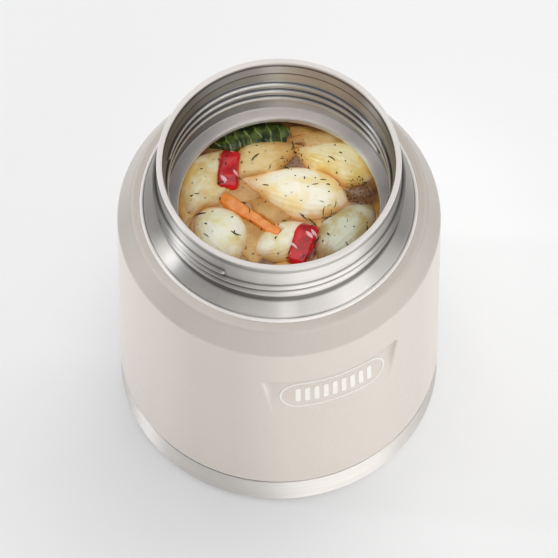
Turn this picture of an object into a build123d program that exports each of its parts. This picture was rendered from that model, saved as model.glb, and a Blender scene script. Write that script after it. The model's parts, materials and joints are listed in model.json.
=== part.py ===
"""Insulated food jar, open and filled: every piece its own solid in its own STEP file.

Millimetres. +Z is up the jar's axis, the origin is the middle of the foot's underside, and the
recessed panel faces -Y. Sheet-metal pieces are drawn as a line through the middle of the sheet,
given its gauge, and turned about the axis.
"""

import os
from dataclasses import dataclass
from math import asin, atan2, cos, hypot, pi, radians, sin, tan

from build123d import *

os.makedirs("parts", exist_ok=True)

# --- Driving dimensions: outer form -----------------------------------------------------------
BODY_RADIUS = 52.0  # outside of the coated wall
WALL_GAUGE = 0.8  # coated outer sheet
BAND_HEIGHT = 12.8  # bare steel base band, from the table to its top edge
SEAM_GAP = 0.5  # dark seam between base band and coated wall
WALL_HEIGHT = 82.0  # coated straight wall above the seam
SHOULDER_INSET = 4.5  # how far the coated shoulder leans in
SHOULDER_RISE = 8.8
SHOULDER_BEND = 2.5
CREASE_BEND = 2.0
JOGGLE_BEND = 0.6  # step from the coated wall in to the skirt
COLLAR_INSET = 3.6  # coated collar from the crease to the bead's crest
COLLAR_RISE = 0.9

# Neck, bare steel
NECK_GAUGE = 0.8
NECK_BEND = 0.6
LAP_INSET = 1.4  # neck's lap under the collar stops short of the crease
LAP_GAP = 0.1
BEAD_GAP = 0.2  # collar's edge to the bead
BEAD_WIRE = 0.75  # radius of the rolled bead's section
BEAD_LAP = 0.12  # how deep the bead is welded into the neck's sheet
CONE_INSET = 4.8  # bare steel cone, from the bead's crest to the neck
CONE_STEP = 1.5  # small upright step inside the bead
CONE_RISE = 3.7
NECK_HEIGHT = 19.0  # from the cone's top to the rim
LIP_GAUGE = 0.9  # rolled rim that closes the vacuum space
LIP_ROUND = 0.35  # rounding of the rim, as a share of its gauge

# --- Driving dimensions: inner vessel ---------------------------------------------------------
INNER_GAUGE = 0.6
RIM_GAP = 1.3  # vacuum space between the two necks
RIM_FLARE = 0.9  # how much wider the mouth is at the lip
FLARE_DEPTH = 4.8
FLARE_BEND = 2.0
LEDGE_DEPTH = 26.2  # from the rim to the sealing ledge
LEDGE_WIDTH = 4.1
LEDGE_BEND = 0.7
THROAT_DEPTH = 2.0  # hairpin under the ledge
THROAT_BEND = 0.7
VACUUM_GAP = 4.8  # between the body's two walls
INNER_SHOULDER_DROP = 9.4
INNER_SHOULDER_BEND = 4.0
INNER_CORNER = 9.0

# --- Driving dimensions: screw threads --------------------------------------------------------
CUP_THREAD_LEAD = 6.4  # outer thread, two starts
CUP_THREAD_HEIGHT = 1.35
CUP_THREAD_WIDTH = 2.5
CUP_THREAD_TURN = 402.0  # degrees that each ridge runs
CUP_THREAD_DROP = 8.2  # rim to the top end of a ridge
CUP_THREAD_START = 222.5  # heading of the first ridge's top end
STOPPER_THREAD_LEAD = 8.2  # inner thread, two starts
STOPPER_THREAD_HEIGHT = 1.1
STOPPER_THREAD_WIDTH = 2.4
STOPPER_THREAD_TURN = 500.0
STOPPER_THREAD_DROP = 9.3
STOPPER_THREAD_START = 147.5
THREAD_STARTS = 2
THREAD_BITE = 0.2  # how deep a ridge's foot is buried in its sheet

# --- Driving dimensions: base -----------------------------------------------------------------
CUP_GAUGE = 0.6
CUP_HEEL = 1.8  # rounding between band and floor
GROOVE_BEND = 0.5
CUP_SLACK = 0.35  # glue gap between band and the skirt inside it
CUP_INSET = 0.15  # band's face lies this far inside the coated wall's
FOOT_DROP = 0.6  # foot ring stands this far below the cup's floor
FOOT_HEIGHT = 1.8
FOOT_WIDTH = 5.6
FOOT_INSET = 9.0  # body wall to the middle of the foot ring
FOOT_SLACK = 0.2
SKIRT_LIFT = 5.2  # skirt's lower edge above the table
BOTTOM_LIFT = 8.4  # vacuum bottom's sheet above the table
BOTTOM_GAUGE = 0.6
BOTTOM_GAP = 3.9  # between the vacuum bottom and the inner vessel's floor
DIMPLE_RADIUS = 7.5
DIMPLE_DEPTH = 2.0
DIMPLE_BEND = 0.8
FLANGE_BEND = 1.2
FLANGE_SLACK = 0.05
GLUE_WIDTH = 2.6

# Vacuum fittings
PLUG_RADIUS = 3.4
PLUG_HEIGHT = 1.1
VENT_RADIUS = 0.9
GETTER_RADIUS = 4.4
GETTER_HEIGHT = 1.6
GETTER_OFFSET = 24.0
BRACKET_GAUGE = 0.5
BRACKET_LENGTH = 15.0
BRACKET_WIDTH = 9.6
SHIELD_GAUGE = 0.2
SHIELD_SLACK = 0.1
SHIELD_END_MARGIN = 3.0  # foil stops short of the vessel's curved ends

# --- Driving dimensions: recessed panel -------------------------------------------------------
PANEL_WIDTH = 47.5  # along its top edge
PANEL_LEAN = 10.0  # degrees that each side leans in towards the foot
PANEL_HEIGHT = 22.0
PANEL_TOP_DROP = 16.3  # shoulder edge down to the panel's top edge
PANEL_DEPTH = 1.2  # at the top edge; it fades to nothing at the foot
PANEL_CORNER = 4.0

# --- Driving dimensions: contents -------------------------------------------------------------
CONTENTS_TURN = -20.5  # the food's own layout is turned by this about the axis
BROTH_DROP = 6.6  # sealing ledge down to the broth's surface
SOFT_GAP = 0.3  # clearance round every soft piece
SHELL_TIP = 0.09  # rounding of a pasta shell's tip, as a share of its width
SHELL_BRIM = 0.35  # how much of a shell's edge is cut off upright where it meets the broth

# --- Derived places ---------------------------------------------------------------------------
seam_z = BAND_HEIGHT + SEAM_GAP
shoulder_z = seam_z + WALL_HEIGHT
crease_z = shoulder_z + SHOULDER_RISE
bead_z = crease_z + COLLAR_RISE
crease_radius = BODY_RADIUS - SHOULDER_INSET
bead_radius = crease_radius - COLLAR_INSET
neck_radius = bead_radius - CONE_INSET
neck_z = bead_z + CONE_STEP + CONE_RISE
rim_z = neck_z + NECK_HEIGHT

bore_radius = neck_radius - NECK_GAUGE - RIM_GAP - INNER_GAUGE
ledge_z = rim_z - LEDGE_DEPTH
throat_radius = bore_radius - LEDGE_WIDTH
cavity_radius = BODY_RADIUS - WALL_GAUGE - VACUUM_GAP - INNER_GAUGE
vessel_floor_z = BOTTOM_LIFT + BOTTOM_GAUGE / 2 + BOTTOM_GAP + INNER_GAUGE / 2
throat_z = ledge_z - INNER_GAUGE / 2 - THROAT_DEPTH
inner_shoulder_z = throat_z - INNER_SHOULDER_DROP
broth_z = ledge_z - BROTH_DROP

band_radius = BODY_RADIUS - CUP_INSET
skirt_radius = band_radius - CUP_GAUGE - CUP_SLACK
cup_floor_z = FOOT_DROP + CUP_GAUGE
foot_radius = BODY_RADIUS - FOOT_INSET

wall_middle = BODY_RADIUS - WALL_GAUGE / 2
skirt_middle = skirt_radius - WALL_GAUGE / 2
collar_end = bead_radius + BEAD_WIRE + BEAD_GAP
panel_z = shoulder_z - PANEL_TOP_DROP - PANEL_HEIGHT / 2


def sheet_section(points: list, radii: list, gauge: float) -> Sketch:
    """Draws the section of a sheet of one gauge along its middle line, from radius and height."""
    with BuildSketch(Plane.XZ) as section:
        with BuildLine():
            FilletPolyline(*points, radius=radii)
        trace(line_width=gauge)
    return section.sketch


def ring_face(inner: float, outer: float, height: float) -> Sketch:
    """Draws a flat ring at a height."""
    with BuildSketch(Plane.XY.offset(height)) as face:
        Circle(outer)
        Circle(inner, mode=Mode.SUBTRACT)
    return face.sketch


def thread_ridge(wall: float, height: float, width: float, lead: float, turn: float,
                 top_z: float, heading: float, inward: bool) -> Part:
    """Makes one rounded right-hand ridge that winds down from its top end."""
    rise = lead * turn / 360
    side = -1 if inward else 1
    foot = wall - side * THREAD_BITE
    with BuildPart() as ridge:
        with BuildLine():
            Helix(pitch=lead, height=rise, radius=wall)
        with BuildSketch(Plane.XZ):
            with BuildLine():
                arc = ThreePointArc((foot, -width / 2), (wall + side * height, 0), (foot, width / 2))
                Line(arc @ 1, arc @ 0)
            make_face()
        sweep(is_frenet=True)
    return Location((0, 0, top_z - rise), (0, 0, heading - turn)) * ridge.part


def collar_height(radius: float) -> float:
    """Height of the coated collar's upper face at a radius."""
    return crease_z + (crease_radius - radius) * COLLAR_RISE / COLLAR_INSET


def panel_wedge(foot_radius: float, outer_radius: float, spread: float) -> Part:
    """Makes the block between a cone that leans in towards the panel's top and a cylinder."""
    foot_z = panel_z - PANEL_HEIGHT / 2
    foot_width = PANEL_WIDTH - 2 * PANEL_HEIGHT * tan(radians(PANEL_LEAN))
    top_z = panel_z + PANEL_HEIGHT / 2 + spread
    with BuildPart() as wedge:
        with BuildSketch(Plane.XZ):
            with BuildLine():
                Polyline((foot_radius, foot_z), (outer_radius, foot_z), (outer_radius, top_z),
                         (foot_radius - PANEL_DEPTH, top_z), close=True)
            make_face()
        revolve(axis=Axis.Z)
        with BuildSketch(Plane.XZ.offset(BODY_RADIUS * 2)) as outline:
            with Locations((0, panel_z)):
                Trapezoid(foot_width, PANEL_HEIGHT, 90 + PANEL_LEAN)
            fillet(outline.vertices(), PANEL_CORNER)
            if spread:
                offset(amount=spread)
        extrude(amount=-BODY_RADIUS * 2, mode=Mode.INTERSECT)
    return wedge.part


# --- Coated outer shell -----------------------------------------------------------------------
panel_pad = panel_wedge(BODY_RADIUS - WALL_GAUGE, BODY_RADIUS - WALL_GAUGE / 2, WALL_GAUGE)
panel_recess = panel_wedge(BODY_RADIUS, BODY_RADIUS + WALL_GAUGE, 0)

with BuildPart() as body_shell:
    section = sheet_section(
        [
            (skirt_middle, SKIRT_LIFT),
            (skirt_middle, seam_z - WALL_GAUGE / 2),
            (wall_middle, seam_z + WALL_GAUGE / 2),
            (wall_middle, shoulder_z),
            (crease_radius - WALL_GAUGE / 4, crease_z - WALL_GAUGE / 2),
            (collar_end, collar_height(collar_end) - WALL_GAUGE / 2),
        ],
        [JOGGLE_BEND, JOGGLE_BEND, SHOULDER_BEND, CREASE_BEND],
        WALL_GAUGE,
    )
    revolve(section, axis=Axis.Z)
    add(panel_pad)
    add(panel_recess, mode=Mode.SUBTRACT)
body_shell.part.label = "body_shell"
export_step(body_shell.part, "parts/body_shell.step")

# --- Bare steel neck: lap under the collar, rolled bead, cone and threaded neck ----------------
neck_middle = neck_radius - NECK_GAUGE / 2
step_middle = bead_radius - BEAD_WIRE - NECK_GAUGE / 2 + BEAD_LAP
lap_start = crease_radius - LAP_INSET


def lap_height(radius: float) -> float:
    """Height of the lap's middle line, just under the coated collar."""
    return collar_height(radius) - WALL_GAUGE - LAP_GAP - NECK_GAUGE / 2


bead_centre_z = lap_height(bead_radius) + NECK_GAUGE / 2 + BEAD_WIRE - BEAD_LAP

with BuildPart() as neck_shell:
    section = sheet_section(
        [
            (lap_start, lap_height(lap_start)),
            (step_middle, lap_height(step_middle)),
            (step_middle, bead_z + CONE_STEP - NECK_GAUGE / 2),
            (neck_middle, neck_z - NECK_GAUGE / 2),
            (neck_middle, rim_z - LIP_GAUGE),
        ],
        [NECK_BEND, NECK_BEND, NECK_BEND],
        NECK_GAUGE,
    )
    revolve(section, axis=Axis.Z)
    with BuildSketch(Plane.XZ):
        with Locations((bead_radius, bead_centre_z)):
            Circle(BEAD_WIRE)
    revolve(axis=Axis.Z)
    for start in range(THREAD_STARTS):
        add(thread_ridge(neck_radius, CUP_THREAD_HEIGHT, CUP_THREAD_WIDTH, CUP_THREAD_LEAD,
                         CUP_THREAD_TURN, rim_z - CUP_THREAD_DROP,
                         CUP_THREAD_START + start * 360 / THREAD_STARTS, inward=False))
neck_shell.part.label = "neck_shell"
export_step(neck_shell.part, "parts/neck_shell.step")

# --- Inner vessel: rolled rim, threaded bore, sealing ledge, throat and food cavity ------------
bore_middle = bore_radius + INNER_GAUGE / 2
throat_middle = throat_radius + INNER_GAUGE / 2
cavity_middle = cavity_radius + INNER_GAUGE / 2
ledge_middle_z = ledge_z - INNER_GAUGE / 2

with BuildPart() as inner_vessel:
    section = sheet_section(
        [
            (bore_middle + RIM_FLARE, rim_z - LIP_GAUGE / 2),
            (bore_middle, rim_z - FLARE_DEPTH),
            (bore_middle, ledge_middle_z),
            (throat_middle, ledge_middle_z),
            (throat_middle, throat_z),
            (cavity_middle, inner_shoulder_z),
            (cavity_middle, vessel_floor_z),
            (0, vessel_floor_z),
        ],
        [FLARE_BEND, LEDGE_BEND, THROAT_BEND, THROAT_BEND, INNER_SHOULDER_BEND, INNER_CORNER],
        INNER_GAUGE,
    )
    revolve(section, axis=Axis.Z)
    with BuildSketch(Plane.XZ):
        with Locations(((bore_radius + RIM_FLARE + neck_radius) / 2, rim_z - LIP_GAUGE / 2)):
            RectangleRounded(neck_radius - bore_radius - RIM_FLARE, LIP_GAUGE, LIP_GAUGE * LIP_ROUND)
    revolve(axis=Axis.Z)
    for start in range(THREAD_STARTS):
        add(thread_ridge(bore_radius, STOPPER_THREAD_HEIGHT, STOPPER_THREAD_WIDTH,
                         STOPPER_THREAD_LEAD, STOPPER_THREAD_TURN, rim_z - STOPPER_THREAD_DROP,
                         STOPPER_THREAD_START + start * 360 / THREAD_STARTS, inward=True))
inner_vessel.part.label = "inner_vessel"
export_step(inner_vessel.part, "parts/inner_vessel.step")

# --- Foil sleeve round the inner vessel, in the vacuum -----------------------------------------
shield_radius = cavity_radius + INNER_GAUGE + SHIELD_SLACK
shield_foot_z = vessel_floor_z + INNER_CORNER + SHIELD_END_MARGIN
shield_top_z = inner_shoulder_z - SHIELD_END_MARGIN

with BuildPart() as radiation_shield:
    extrude(ring_face(shield_radius, shield_radius + SHIELD_GAUGE, shield_foot_z),
            amount=shield_top_z - shield_foot_z)
radiation_shield.part.label = "radiation_shield"
export_step(radiation_shield.part, "parts/radiation_shield.step")

# --- Vacuum bottom, with its dimple and vent, and the plug that seals it -----------------------
bottom_flange_middle = skirt_radius - WALL_GAUGE - FLANGE_SLACK - BOTTOM_GAUGE / 2
dimple_z = BOTTOM_LIFT - DIMPLE_DEPTH

with BuildPart() as vacuum_bottom:
    section = sheet_section(
        [
            (bottom_flange_middle, SKIRT_LIFT),
            (bottom_flange_middle, BOTTOM_LIFT),
            (DIMPLE_RADIUS + DIMPLE_DEPTH / 2, BOTTOM_LIFT),
            (DIMPLE_RADIUS - DIMPLE_DEPTH / 2, dimple_z),
            (0, dimple_z),
        ],
        [FLANGE_BEND, DIMPLE_BEND, DIMPLE_BEND],
        BOTTOM_GAUGE,
    )
    revolve(section, axis=Axis.Z)
    with Locations((0, 0, dimple_z)):
        Hole(VENT_RADIUS, BOTTOM_LIFT)
vacuum_bottom.part.label = "vacuum_bottom"
export_step(vacuum_bottom.part, "parts/vacuum_bottom.step")

with BuildPart() as seal_plug:
    with BuildSketch(Plane.XY.offset(dimple_z - BOTTOM_GAUGE / 2 - PLUG_HEIGHT)):
        Circle(PLUG_RADIUS)
    extrude(amount=PLUG_HEIGHT)
    fillet(seal_plug.faces().sort_by(Axis.Z)[0].edges(), PLUG_HEIGHT / 2)
seal_plug.part.label = "seal_plug"
export_step(seal_plug.part, "parts/seal_plug.step")

# --- Getter on its bracket, spot-welded to the vacuum bottom -----------------------------------
bracket_z = BOTTOM_LIFT + BOTTOM_GAUGE / 2

with BuildPart() as getter_bracket:
    with BuildSketch(Plane.XY.offset(bracket_z)):
        with Locations((GETTER_OFFSET, 0)):
            RectangleRounded(BRACKET_LENGTH, BRACKET_WIDTH, BRACKET_WIDTH / 4)
    extrude(amount=BRACKET_GAUGE)
getter_bracket.part.label = "getter_bracket"
export_step(getter_bracket.part, "parts/getter_bracket.step")

with BuildPart() as getter_capsule:
    with BuildSketch(Plane.XY.offset(bracket_z + BRACKET_GAUGE)):
        with Locations((GETTER_OFFSET, 0)):
            Circle(GETTER_RADIUS)
    extrude(amount=GETTER_HEIGHT)
    fillet(getter_capsule.faces().sort_by(Axis.Z)[-1].edges(), GETTER_HEIGHT / 4)
getter_capsule.part.label = "getter_capsule"
export_step(getter_capsule.part, "parts/getter_capsule.step")

# --- Brushed base cup, the ring of sealant that holds it on, and the foot ring -----------------
band_middle = band_radius - CUP_GAUGE / 2
cup_middle_z = FOOT_DROP + CUP_GAUGE / 2
groove_middle_z = FOOT_HEIGHT + CUP_GAUGE / 2
groove_half = FOOT_WIDTH / 2 + FOOT_SLACK + CUP_GAUGE / 2

with BuildPart() as base_cup:
    section = sheet_section(
        [
            (0, cup_middle_z),
            (foot_radius - groove_half, cup_middle_z),
            (foot_radius - groove_half, groove_middle_z),
            (foot_radius + groove_half, groove_middle_z),
            (foot_radius + groove_half, cup_middle_z),
            (band_middle, cup_middle_z),
            (band_middle, BAND_HEIGHT),
        ],
        [GROOVE_BEND, GROOVE_BEND, GROOVE_BEND, GROOVE_BEND, CUP_HEEL],
        CUP_GAUGE,
    )
    revolve(section, axis=Axis.Z)
base_cup.part.label = "base_cup"
export_step(base_cup.part, "parts/base_cup.step")

sealant_radius = band_middle - CUP_HEEL

with BuildPart() as base_sealant:
    extrude(ring_face(sealant_radius - GLUE_WIDTH, sealant_radius, cup_floor_z),
            amount=SKIRT_LIFT - cup_floor_z)
base_sealant.part.label = "base_sealant"
export_step(base_sealant.part, "parts/base_sealant.step")

with BuildPart() as foot_ring:
    extrude(ring_face(foot_radius - FOOT_WIDTH / 2, foot_radius + FOOT_WIDTH / 2, 0),
            amount=FOOT_HEIGHT)
    fillet(foot_ring.faces().sort_by(Axis.Z)[0].edges(), FOOT_DROP / 2)
foot_ring.part.label = "foot_ring"
export_step(foot_ring.part, "parts/foot_ring.step")

# --- Contents: the broth fills the cavity, and each morsel shows as far as it stands above it ---
with BuildPart() as food_space:
    with BuildSketch(Plane.XZ):
        with BuildLine():
            FilletPolyline(
                (throat_middle, ledge_middle_z),
                (throat_middle, throat_z),
                (cavity_middle, inner_shoulder_z),
                (cavity_middle, vessel_floor_z),
                (0, vessel_floor_z),
                radius=[THROAT_BEND, INNER_SHOULDER_BEND, INNER_CORNER],
            )
            mirror(about=Plane.YZ)
            Line((-throat_middle, ledge_middle_z), (throat_middle, ledge_middle_z))
        make_face()
        offset(amount=-(INNER_GAUGE / 2 + SOFT_GAP))
        split(bisect_by=Plane.YZ, keep=Keep.TOP)
    revolve(axis=Axis.Z)


@dataclass
class Morsel:
    """One piece of food as it stands above the broth, in the food's own layout.

    Its place and its size are shares of the throat's radius, so the food fills any jar alike.
    """

    name: str
    x: float
    y: float
    heading: float  # of its long axis, degrees from +X
    length: float
    width: float
    height: float  # above the broth
    strip: bool = False

    def __post_init__(self) -> None:
        """Works its place and its size out for this jar."""
        self.x *= throat_radius
        self.y *= throat_radius
        self.length *= throat_radius
        self.width *= throat_radius
        self.height *= throat_radius

    def placed(self, form: Part) -> Part:
        """Lays a form that was made at the origin where the morsel lies in the jar."""
        layout = Location((0, 0, broth_z), (0, 0, CONTENTS_TURN))
        return layout * Location((self.x, self.y, 0), (0, 0, self.heading)) * form

    def room(self, gap: float) -> Part:
        """Makes the upright block that the morsel needs, with a gap round its outline."""
        with BuildPart() as block:
            with BuildSketch():
                if self.strip:
                    RectangleRounded(self.length + 2 * gap, self.width + 2 * gap, self.width / 4 + gap)
                else:
                    with Locations((self.length / 2 - self.width / 2, 0)):
                        Circle(self.width / 2 + gap)
                    with Locations((self.width * SHELL_TIP - self.length / 2, 0)):
                        Circle(self.width * SHELL_TIP + gap)
                    make_hull()
            extrude(amount=2 * self.height)
        return self.placed(block.part)

    def solid(self) -> Part:
        """Makes the morsel where it lies, whole, as if nothing lay over it."""
        if self.strip:
            return self.placed(strip_form(self.length, self.width, self.height))
        grown = shell_form(self.length + 2 * SHELL_BRIM, self.width + 2 * SHELL_BRIM, self.height)
        return self.placed(grown) & self.room(0)


def shell_form(length: float, width: float, height: float) -> Part:
    """A pasta shell's back: a round end at +X that narrows to a low point at -X."""
    round_radius = (width**2 / 4 + height**2) / (2 * height)
    depth = round_radius - height
    reach = length - width / 2
    taper = asin(round_radius / hypot(reach, depth)) - atan2(depth, reach)
    centre = length / 2 - width / 2
    tip_radius = (round_radius - length * sin(taper)) / cos(taper)
    shoulder = (centre - round_radius * sin(taper), round_radius * cos(taper))
    crown = (centre + round_radius * sin(pi / 4), round_radius * cos(pi / 4))
    with BuildPart() as form:
        with BuildSketch(Plane.XY.offset(-depth)):
            with BuildLine():
                Polyline((centre + round_radius, 0), (centre - length, 0), (centre - length, tip_radius),
                         shoulder)
                ThreePointArc(shoulder, crown, (centre + round_radius, 0))
            make_face()
        revolve(axis=Axis((0, 0, -depth), (1, 0, 0)))
        split(bisect_by=Plane.XY, keep=Keep.TOP)
    return form.part


def strip_form(length: float, width: float, height: float) -> Part:
    """A cut strip of vegetable with rounded corners and edges."""
    with BuildPart() as form:
        with BuildSketch():
            RectangleRounded(length, width, width / 4)
        extrude(amount=height)
        fillet(form.faces().sort_by(Axis.Z)[-1].edges(), height / 4)
    return form.part


# Highest first: each one keeps its form, and those after it in the list give way to it
MORSELS = [
    Morsel("pepper_piece_1", -0.502, 0.495, 86, 0.440, 0.204, 0.118, strip=True),
    Morsel("pepper_piece_2", 0.235, -0.365, 72, 0.452, 0.192, 0.118, strip=True),
    Morsel("carrot_strip", -0.279, -0.025, -37, 0.743, 0.130, 0.068, strip=True),
    Morsel("pasta_shell_1", 0.149, 0.263, -15, 1.102, 0.576, 0.124),
    Morsel("pasta_shell_2", 0.539, 0.594, -22, 0.854, 0.495, 0.105),
    Morsel("pasta_shell_3", -0.118, 0.650, 204, 0.824, 0.409, 0.087),
    Morsel("pasta_shell_4", -0.573, -0.232, 118, 0.712, 0.526, 0.111),
    Morsel("pasta_shell_5", -0.712, 0.372, 62, 0.830, 0.539, 0.099),
    Morsel("pasta_shell_6", 0.650, -0.211, 48, 0.836, 0.480, 0.105),
    Morsel("pasta_shell_7", 0.068, -0.297, 28, 0.681, 0.409, 0.087),
    Morsel("pasta_shell_8", 0.384, 0.836, -8, 0.619, 0.260, 0.050),
    Morsel("leaf_greens", -0.303, 0.885, 11, 0.786, 0.260, 0.062, strip=True),
]

laid = []
for morsel in MORSELS:
    with BuildPart() as piece:
        add(morsel.solid())
        add(food_space.part, mode=Mode.INTERSECT)
        for above in laid:
            add(above.room(SOFT_GAP), mode=Mode.SUBTRACT)
    whole = piece.part.solids().sort_by(SortBy.VOLUME)[-1]
    whole.label = morsel.name
    export_step(whole, f"parts/{morsel.name}.step")
    laid.append(morsel)

with BuildPart() as broth:
    add(food_space.part)
    split(bisect_by=Plane.XY.offset(broth_z), keep=Keep.BOTTOM)
broth.part.label = "broth"
export_step(broth.part, "parts/broth.step")
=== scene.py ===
"""Looks of an open insulated food jar, filled with a pasta stew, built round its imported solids.

Metres. +Z is up the jar's axis, the origin is the middle of the foot's underside, and the recessed
panel faces -Y. Headings are degrees from +X and azimuths are degrees to the right of the camera's
side, both seen from above. Sheet-metal pieces are closed sections turned about the axis; Geometry
Nodes roll their threads, print the panel's mark and scatter the herbs.
"""

import cmath
import json
import logging
from dataclasses import dataclass, field
from enum import Enum
from math import cos, degrees, log2, pi, radians, sin, sqrt, tan
from typing import Any, Callable, ClassVar, Optional, Sequence, Union

import bmesh
import bpy
import numpy as np
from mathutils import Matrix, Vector, noise
from mathutils.bvhtree import BVHTree


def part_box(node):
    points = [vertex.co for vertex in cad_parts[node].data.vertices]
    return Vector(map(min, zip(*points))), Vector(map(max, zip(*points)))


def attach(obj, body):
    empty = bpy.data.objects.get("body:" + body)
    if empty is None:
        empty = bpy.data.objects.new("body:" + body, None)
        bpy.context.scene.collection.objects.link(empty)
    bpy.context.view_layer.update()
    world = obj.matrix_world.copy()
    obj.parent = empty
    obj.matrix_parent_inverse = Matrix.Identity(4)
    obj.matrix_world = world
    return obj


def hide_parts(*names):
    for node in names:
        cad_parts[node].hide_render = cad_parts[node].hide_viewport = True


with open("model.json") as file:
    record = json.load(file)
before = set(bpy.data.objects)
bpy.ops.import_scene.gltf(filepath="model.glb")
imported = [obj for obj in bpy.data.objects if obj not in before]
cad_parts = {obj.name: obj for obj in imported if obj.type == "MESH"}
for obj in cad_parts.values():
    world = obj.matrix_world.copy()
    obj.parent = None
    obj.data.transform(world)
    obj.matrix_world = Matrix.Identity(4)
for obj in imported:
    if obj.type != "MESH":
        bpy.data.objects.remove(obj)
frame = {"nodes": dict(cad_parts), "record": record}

log = logging.getLogger("food_jar")

MM = 0.001
BODY = "root"
CAMERA_HEADING = -110.5  # where the camera stands round the axis
CONTENTS_TURN = CAMERA_HEADING + 90  # the food is laid out as the camera sees it, and turned by this

Point = tuple[float, float]
Colour = tuple[float, float, float]
Rgba = tuple[float, float, float, float]
Bands = tuple[tuple[float, float], ...]  # azimuths from -180 to 180, and the level at each
Value = Union["Field", float]
Inputs = dict[Any, Any]  # values of a shader's or a node's inputs, by name or number
Array = np.ndarray
Object = bpy.types.Object
Socket = bpy.types.NodeSocket

BLACK: Rgba = (0.0, 0.0, 0.0, 1.0)
EVEN: Bands = ((-180, 1.0), (180, 1.0))


def linear(colour: Colour, level: float = 1.0) -> Rgba:
    """Turns a display colour of 0 to 255 into a shader's colour.

    Args:
        colour: Red, green and blue as a screen shows them.
        level: Share of its light that is kept.

    Returns:
        Linear red, green, blue and an alpha of 1.
    """
    shares = [part / 255 for part in colour]
    parts = [part / 12.92 if part <= 0.04045 else ((part + 0.055) / 1.055) ** 2.4 for part in shares]
    return (parts[0] * level, parts[1] * level, parts[2] * level, 1.0)


def rotated(x: Any, y: Any, turn: float) -> tuple[Any, Any]:
    """Turns a place, or arrays of places, about the origin by some degrees."""
    angle = radians(turn)
    return x * cos(angle) - y * sin(angle), x * sin(angle) + y * cos(angle)


# --- Node trees as expressions ---


def operator(operation: str, swapped: bool = False) -> Callable[["Field", Value], "Field"]:
    """Makes a method that adds a Math node.

    Args:
        operation: Name of the Math node's operation.
        swapped: Whether the other value comes first.

    Returns:
        The method, for a field and another value.
    """
    def method(field: "Field", other: Value) -> "Field":
        """The result of the two."""
        return field.graph.math(operation, *((other, field) if swapped else (field, other)))

    return method


class Field:
    """A number socket of a node tree, used in sums like a number."""

    __add__ = __radd__ = operator("ADD")
    __sub__, __rsub__ = operator("SUBTRACT"), operator("SUBTRACT", swapped=True)
    __mul__ = __rmul__ = operator("MULTIPLY")
    __truediv__ = operator("DIVIDE")
    __pow__ = operator("POWER")
    at_least = operator("MAXIMUM")
    at_most = operator("MINIMUM")

    def __init__(self, graph: "Graph", socket: Socket) -> None:
        """Wraps a socket of a graph."""
        self.graph = graph
        self.socket = socket

    def eased(self, low: float, high: float) -> "Field":
        """Goes smoothly from 0 at low to 1 at high.

        Args:
            low: Value that gives 0.
            high: Value that gives 1.

        Returns:
            The share between them.
        """
        settings = {"interpolation_type": "SMOOTHSTEP"}
        return Field(self.graph, self.graph.first("ShaderNodeMapRange", settings, {
            "Value": self, "From Min": low, "From Max": high}))

    def hump(self, start: float, full: float, fade: float, end: float) -> "Field":
        """Goes smoothly from 0 at start to 1 at full, and from 1 at fade back to 0 at end."""
        return self.eased(start, full) * (1.0 - self.eased(fade, end))


class Graph:
    """A shader's or a geometry's node tree."""

    def __init__(self, tree: bpy.types.NodeTree) -> None:
        """Takes a tree that already exists."""
        self.tree = tree

    def node(self, kind: str, settings: Optional[Inputs] = None,
             inputs: Optional[Inputs] = None) -> bpy.types.Node:
        """Adds a node, sets its properties and then fills its sockets.

        Args:
            kind: Blender's type name of the node.
            settings: Properties by name; stops are a colour ramp's positions and colours.
            inputs: Values, fields or sockets, by the name or the number of the input.

        Returns:
            The new node.
        """
        made = self.tree.nodes.new(kind)
        for name, value in (settings or {}).items():
            if name != "stops":
                setattr(made, name, value)
                continue
            steps = made.color_ramp.elements
            while len(steps) < len(value):
                steps.new(0.5)
            for step, (position, colour) in zip(steps, value):
                step.position = position
                step.color = colour
        for name, value in (inputs or {}).items():
            value = value.socket if isinstance(value, Field) else value
            if isinstance(value, Socket):
                self.tree.links.new(value, made.inputs[name])
            else:
                made.inputs[name].default_value = value
        return made

    def first(self, kind: str, settings: Optional[Inputs] = None,
              inputs: Optional[Inputs] = None) -> Socket:
        """Adds a node, as node() does, and gives its first output."""
        return self.node(kind, settings, inputs).outputs[0]

    def math(self, operation: str, *values: Value) -> Field:
        """Adds a Math node with the named operation on fields or numbers."""
        return Field(self, self.first("ShaderNodeMath", {"operation": operation}, dict(enumerate(values))))

    def split(self, vector: Socket) -> tuple[Field, Field, Field]:
        """Takes a vector apart into its three numbers."""
        parts = self.node("ShaderNodeSeparateXYZ", inputs={0: vector}).outputs
        return Field(self, parts[0]), Field(self, parts[1]), Field(self, parts[2])

    def join(self, x: Value, y: Value, z: Value) -> Socket:
        """Puts three numbers together as a vector."""
        return self.first("ShaderNodeCombineXYZ", inputs={0: x, 1: y, 2: z})

    def length(self, x: Field, y: Field) -> Field:
        """Length of a flat vector."""
        return (x * x + y * y) ** 0.5

    def heading(self, x: Field, y: Field) -> Field:
        """Direction of a flat vector, in degrees from +X."""
        return self.math("ARCTAN2", y, x) * (180 / pi)


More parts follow.
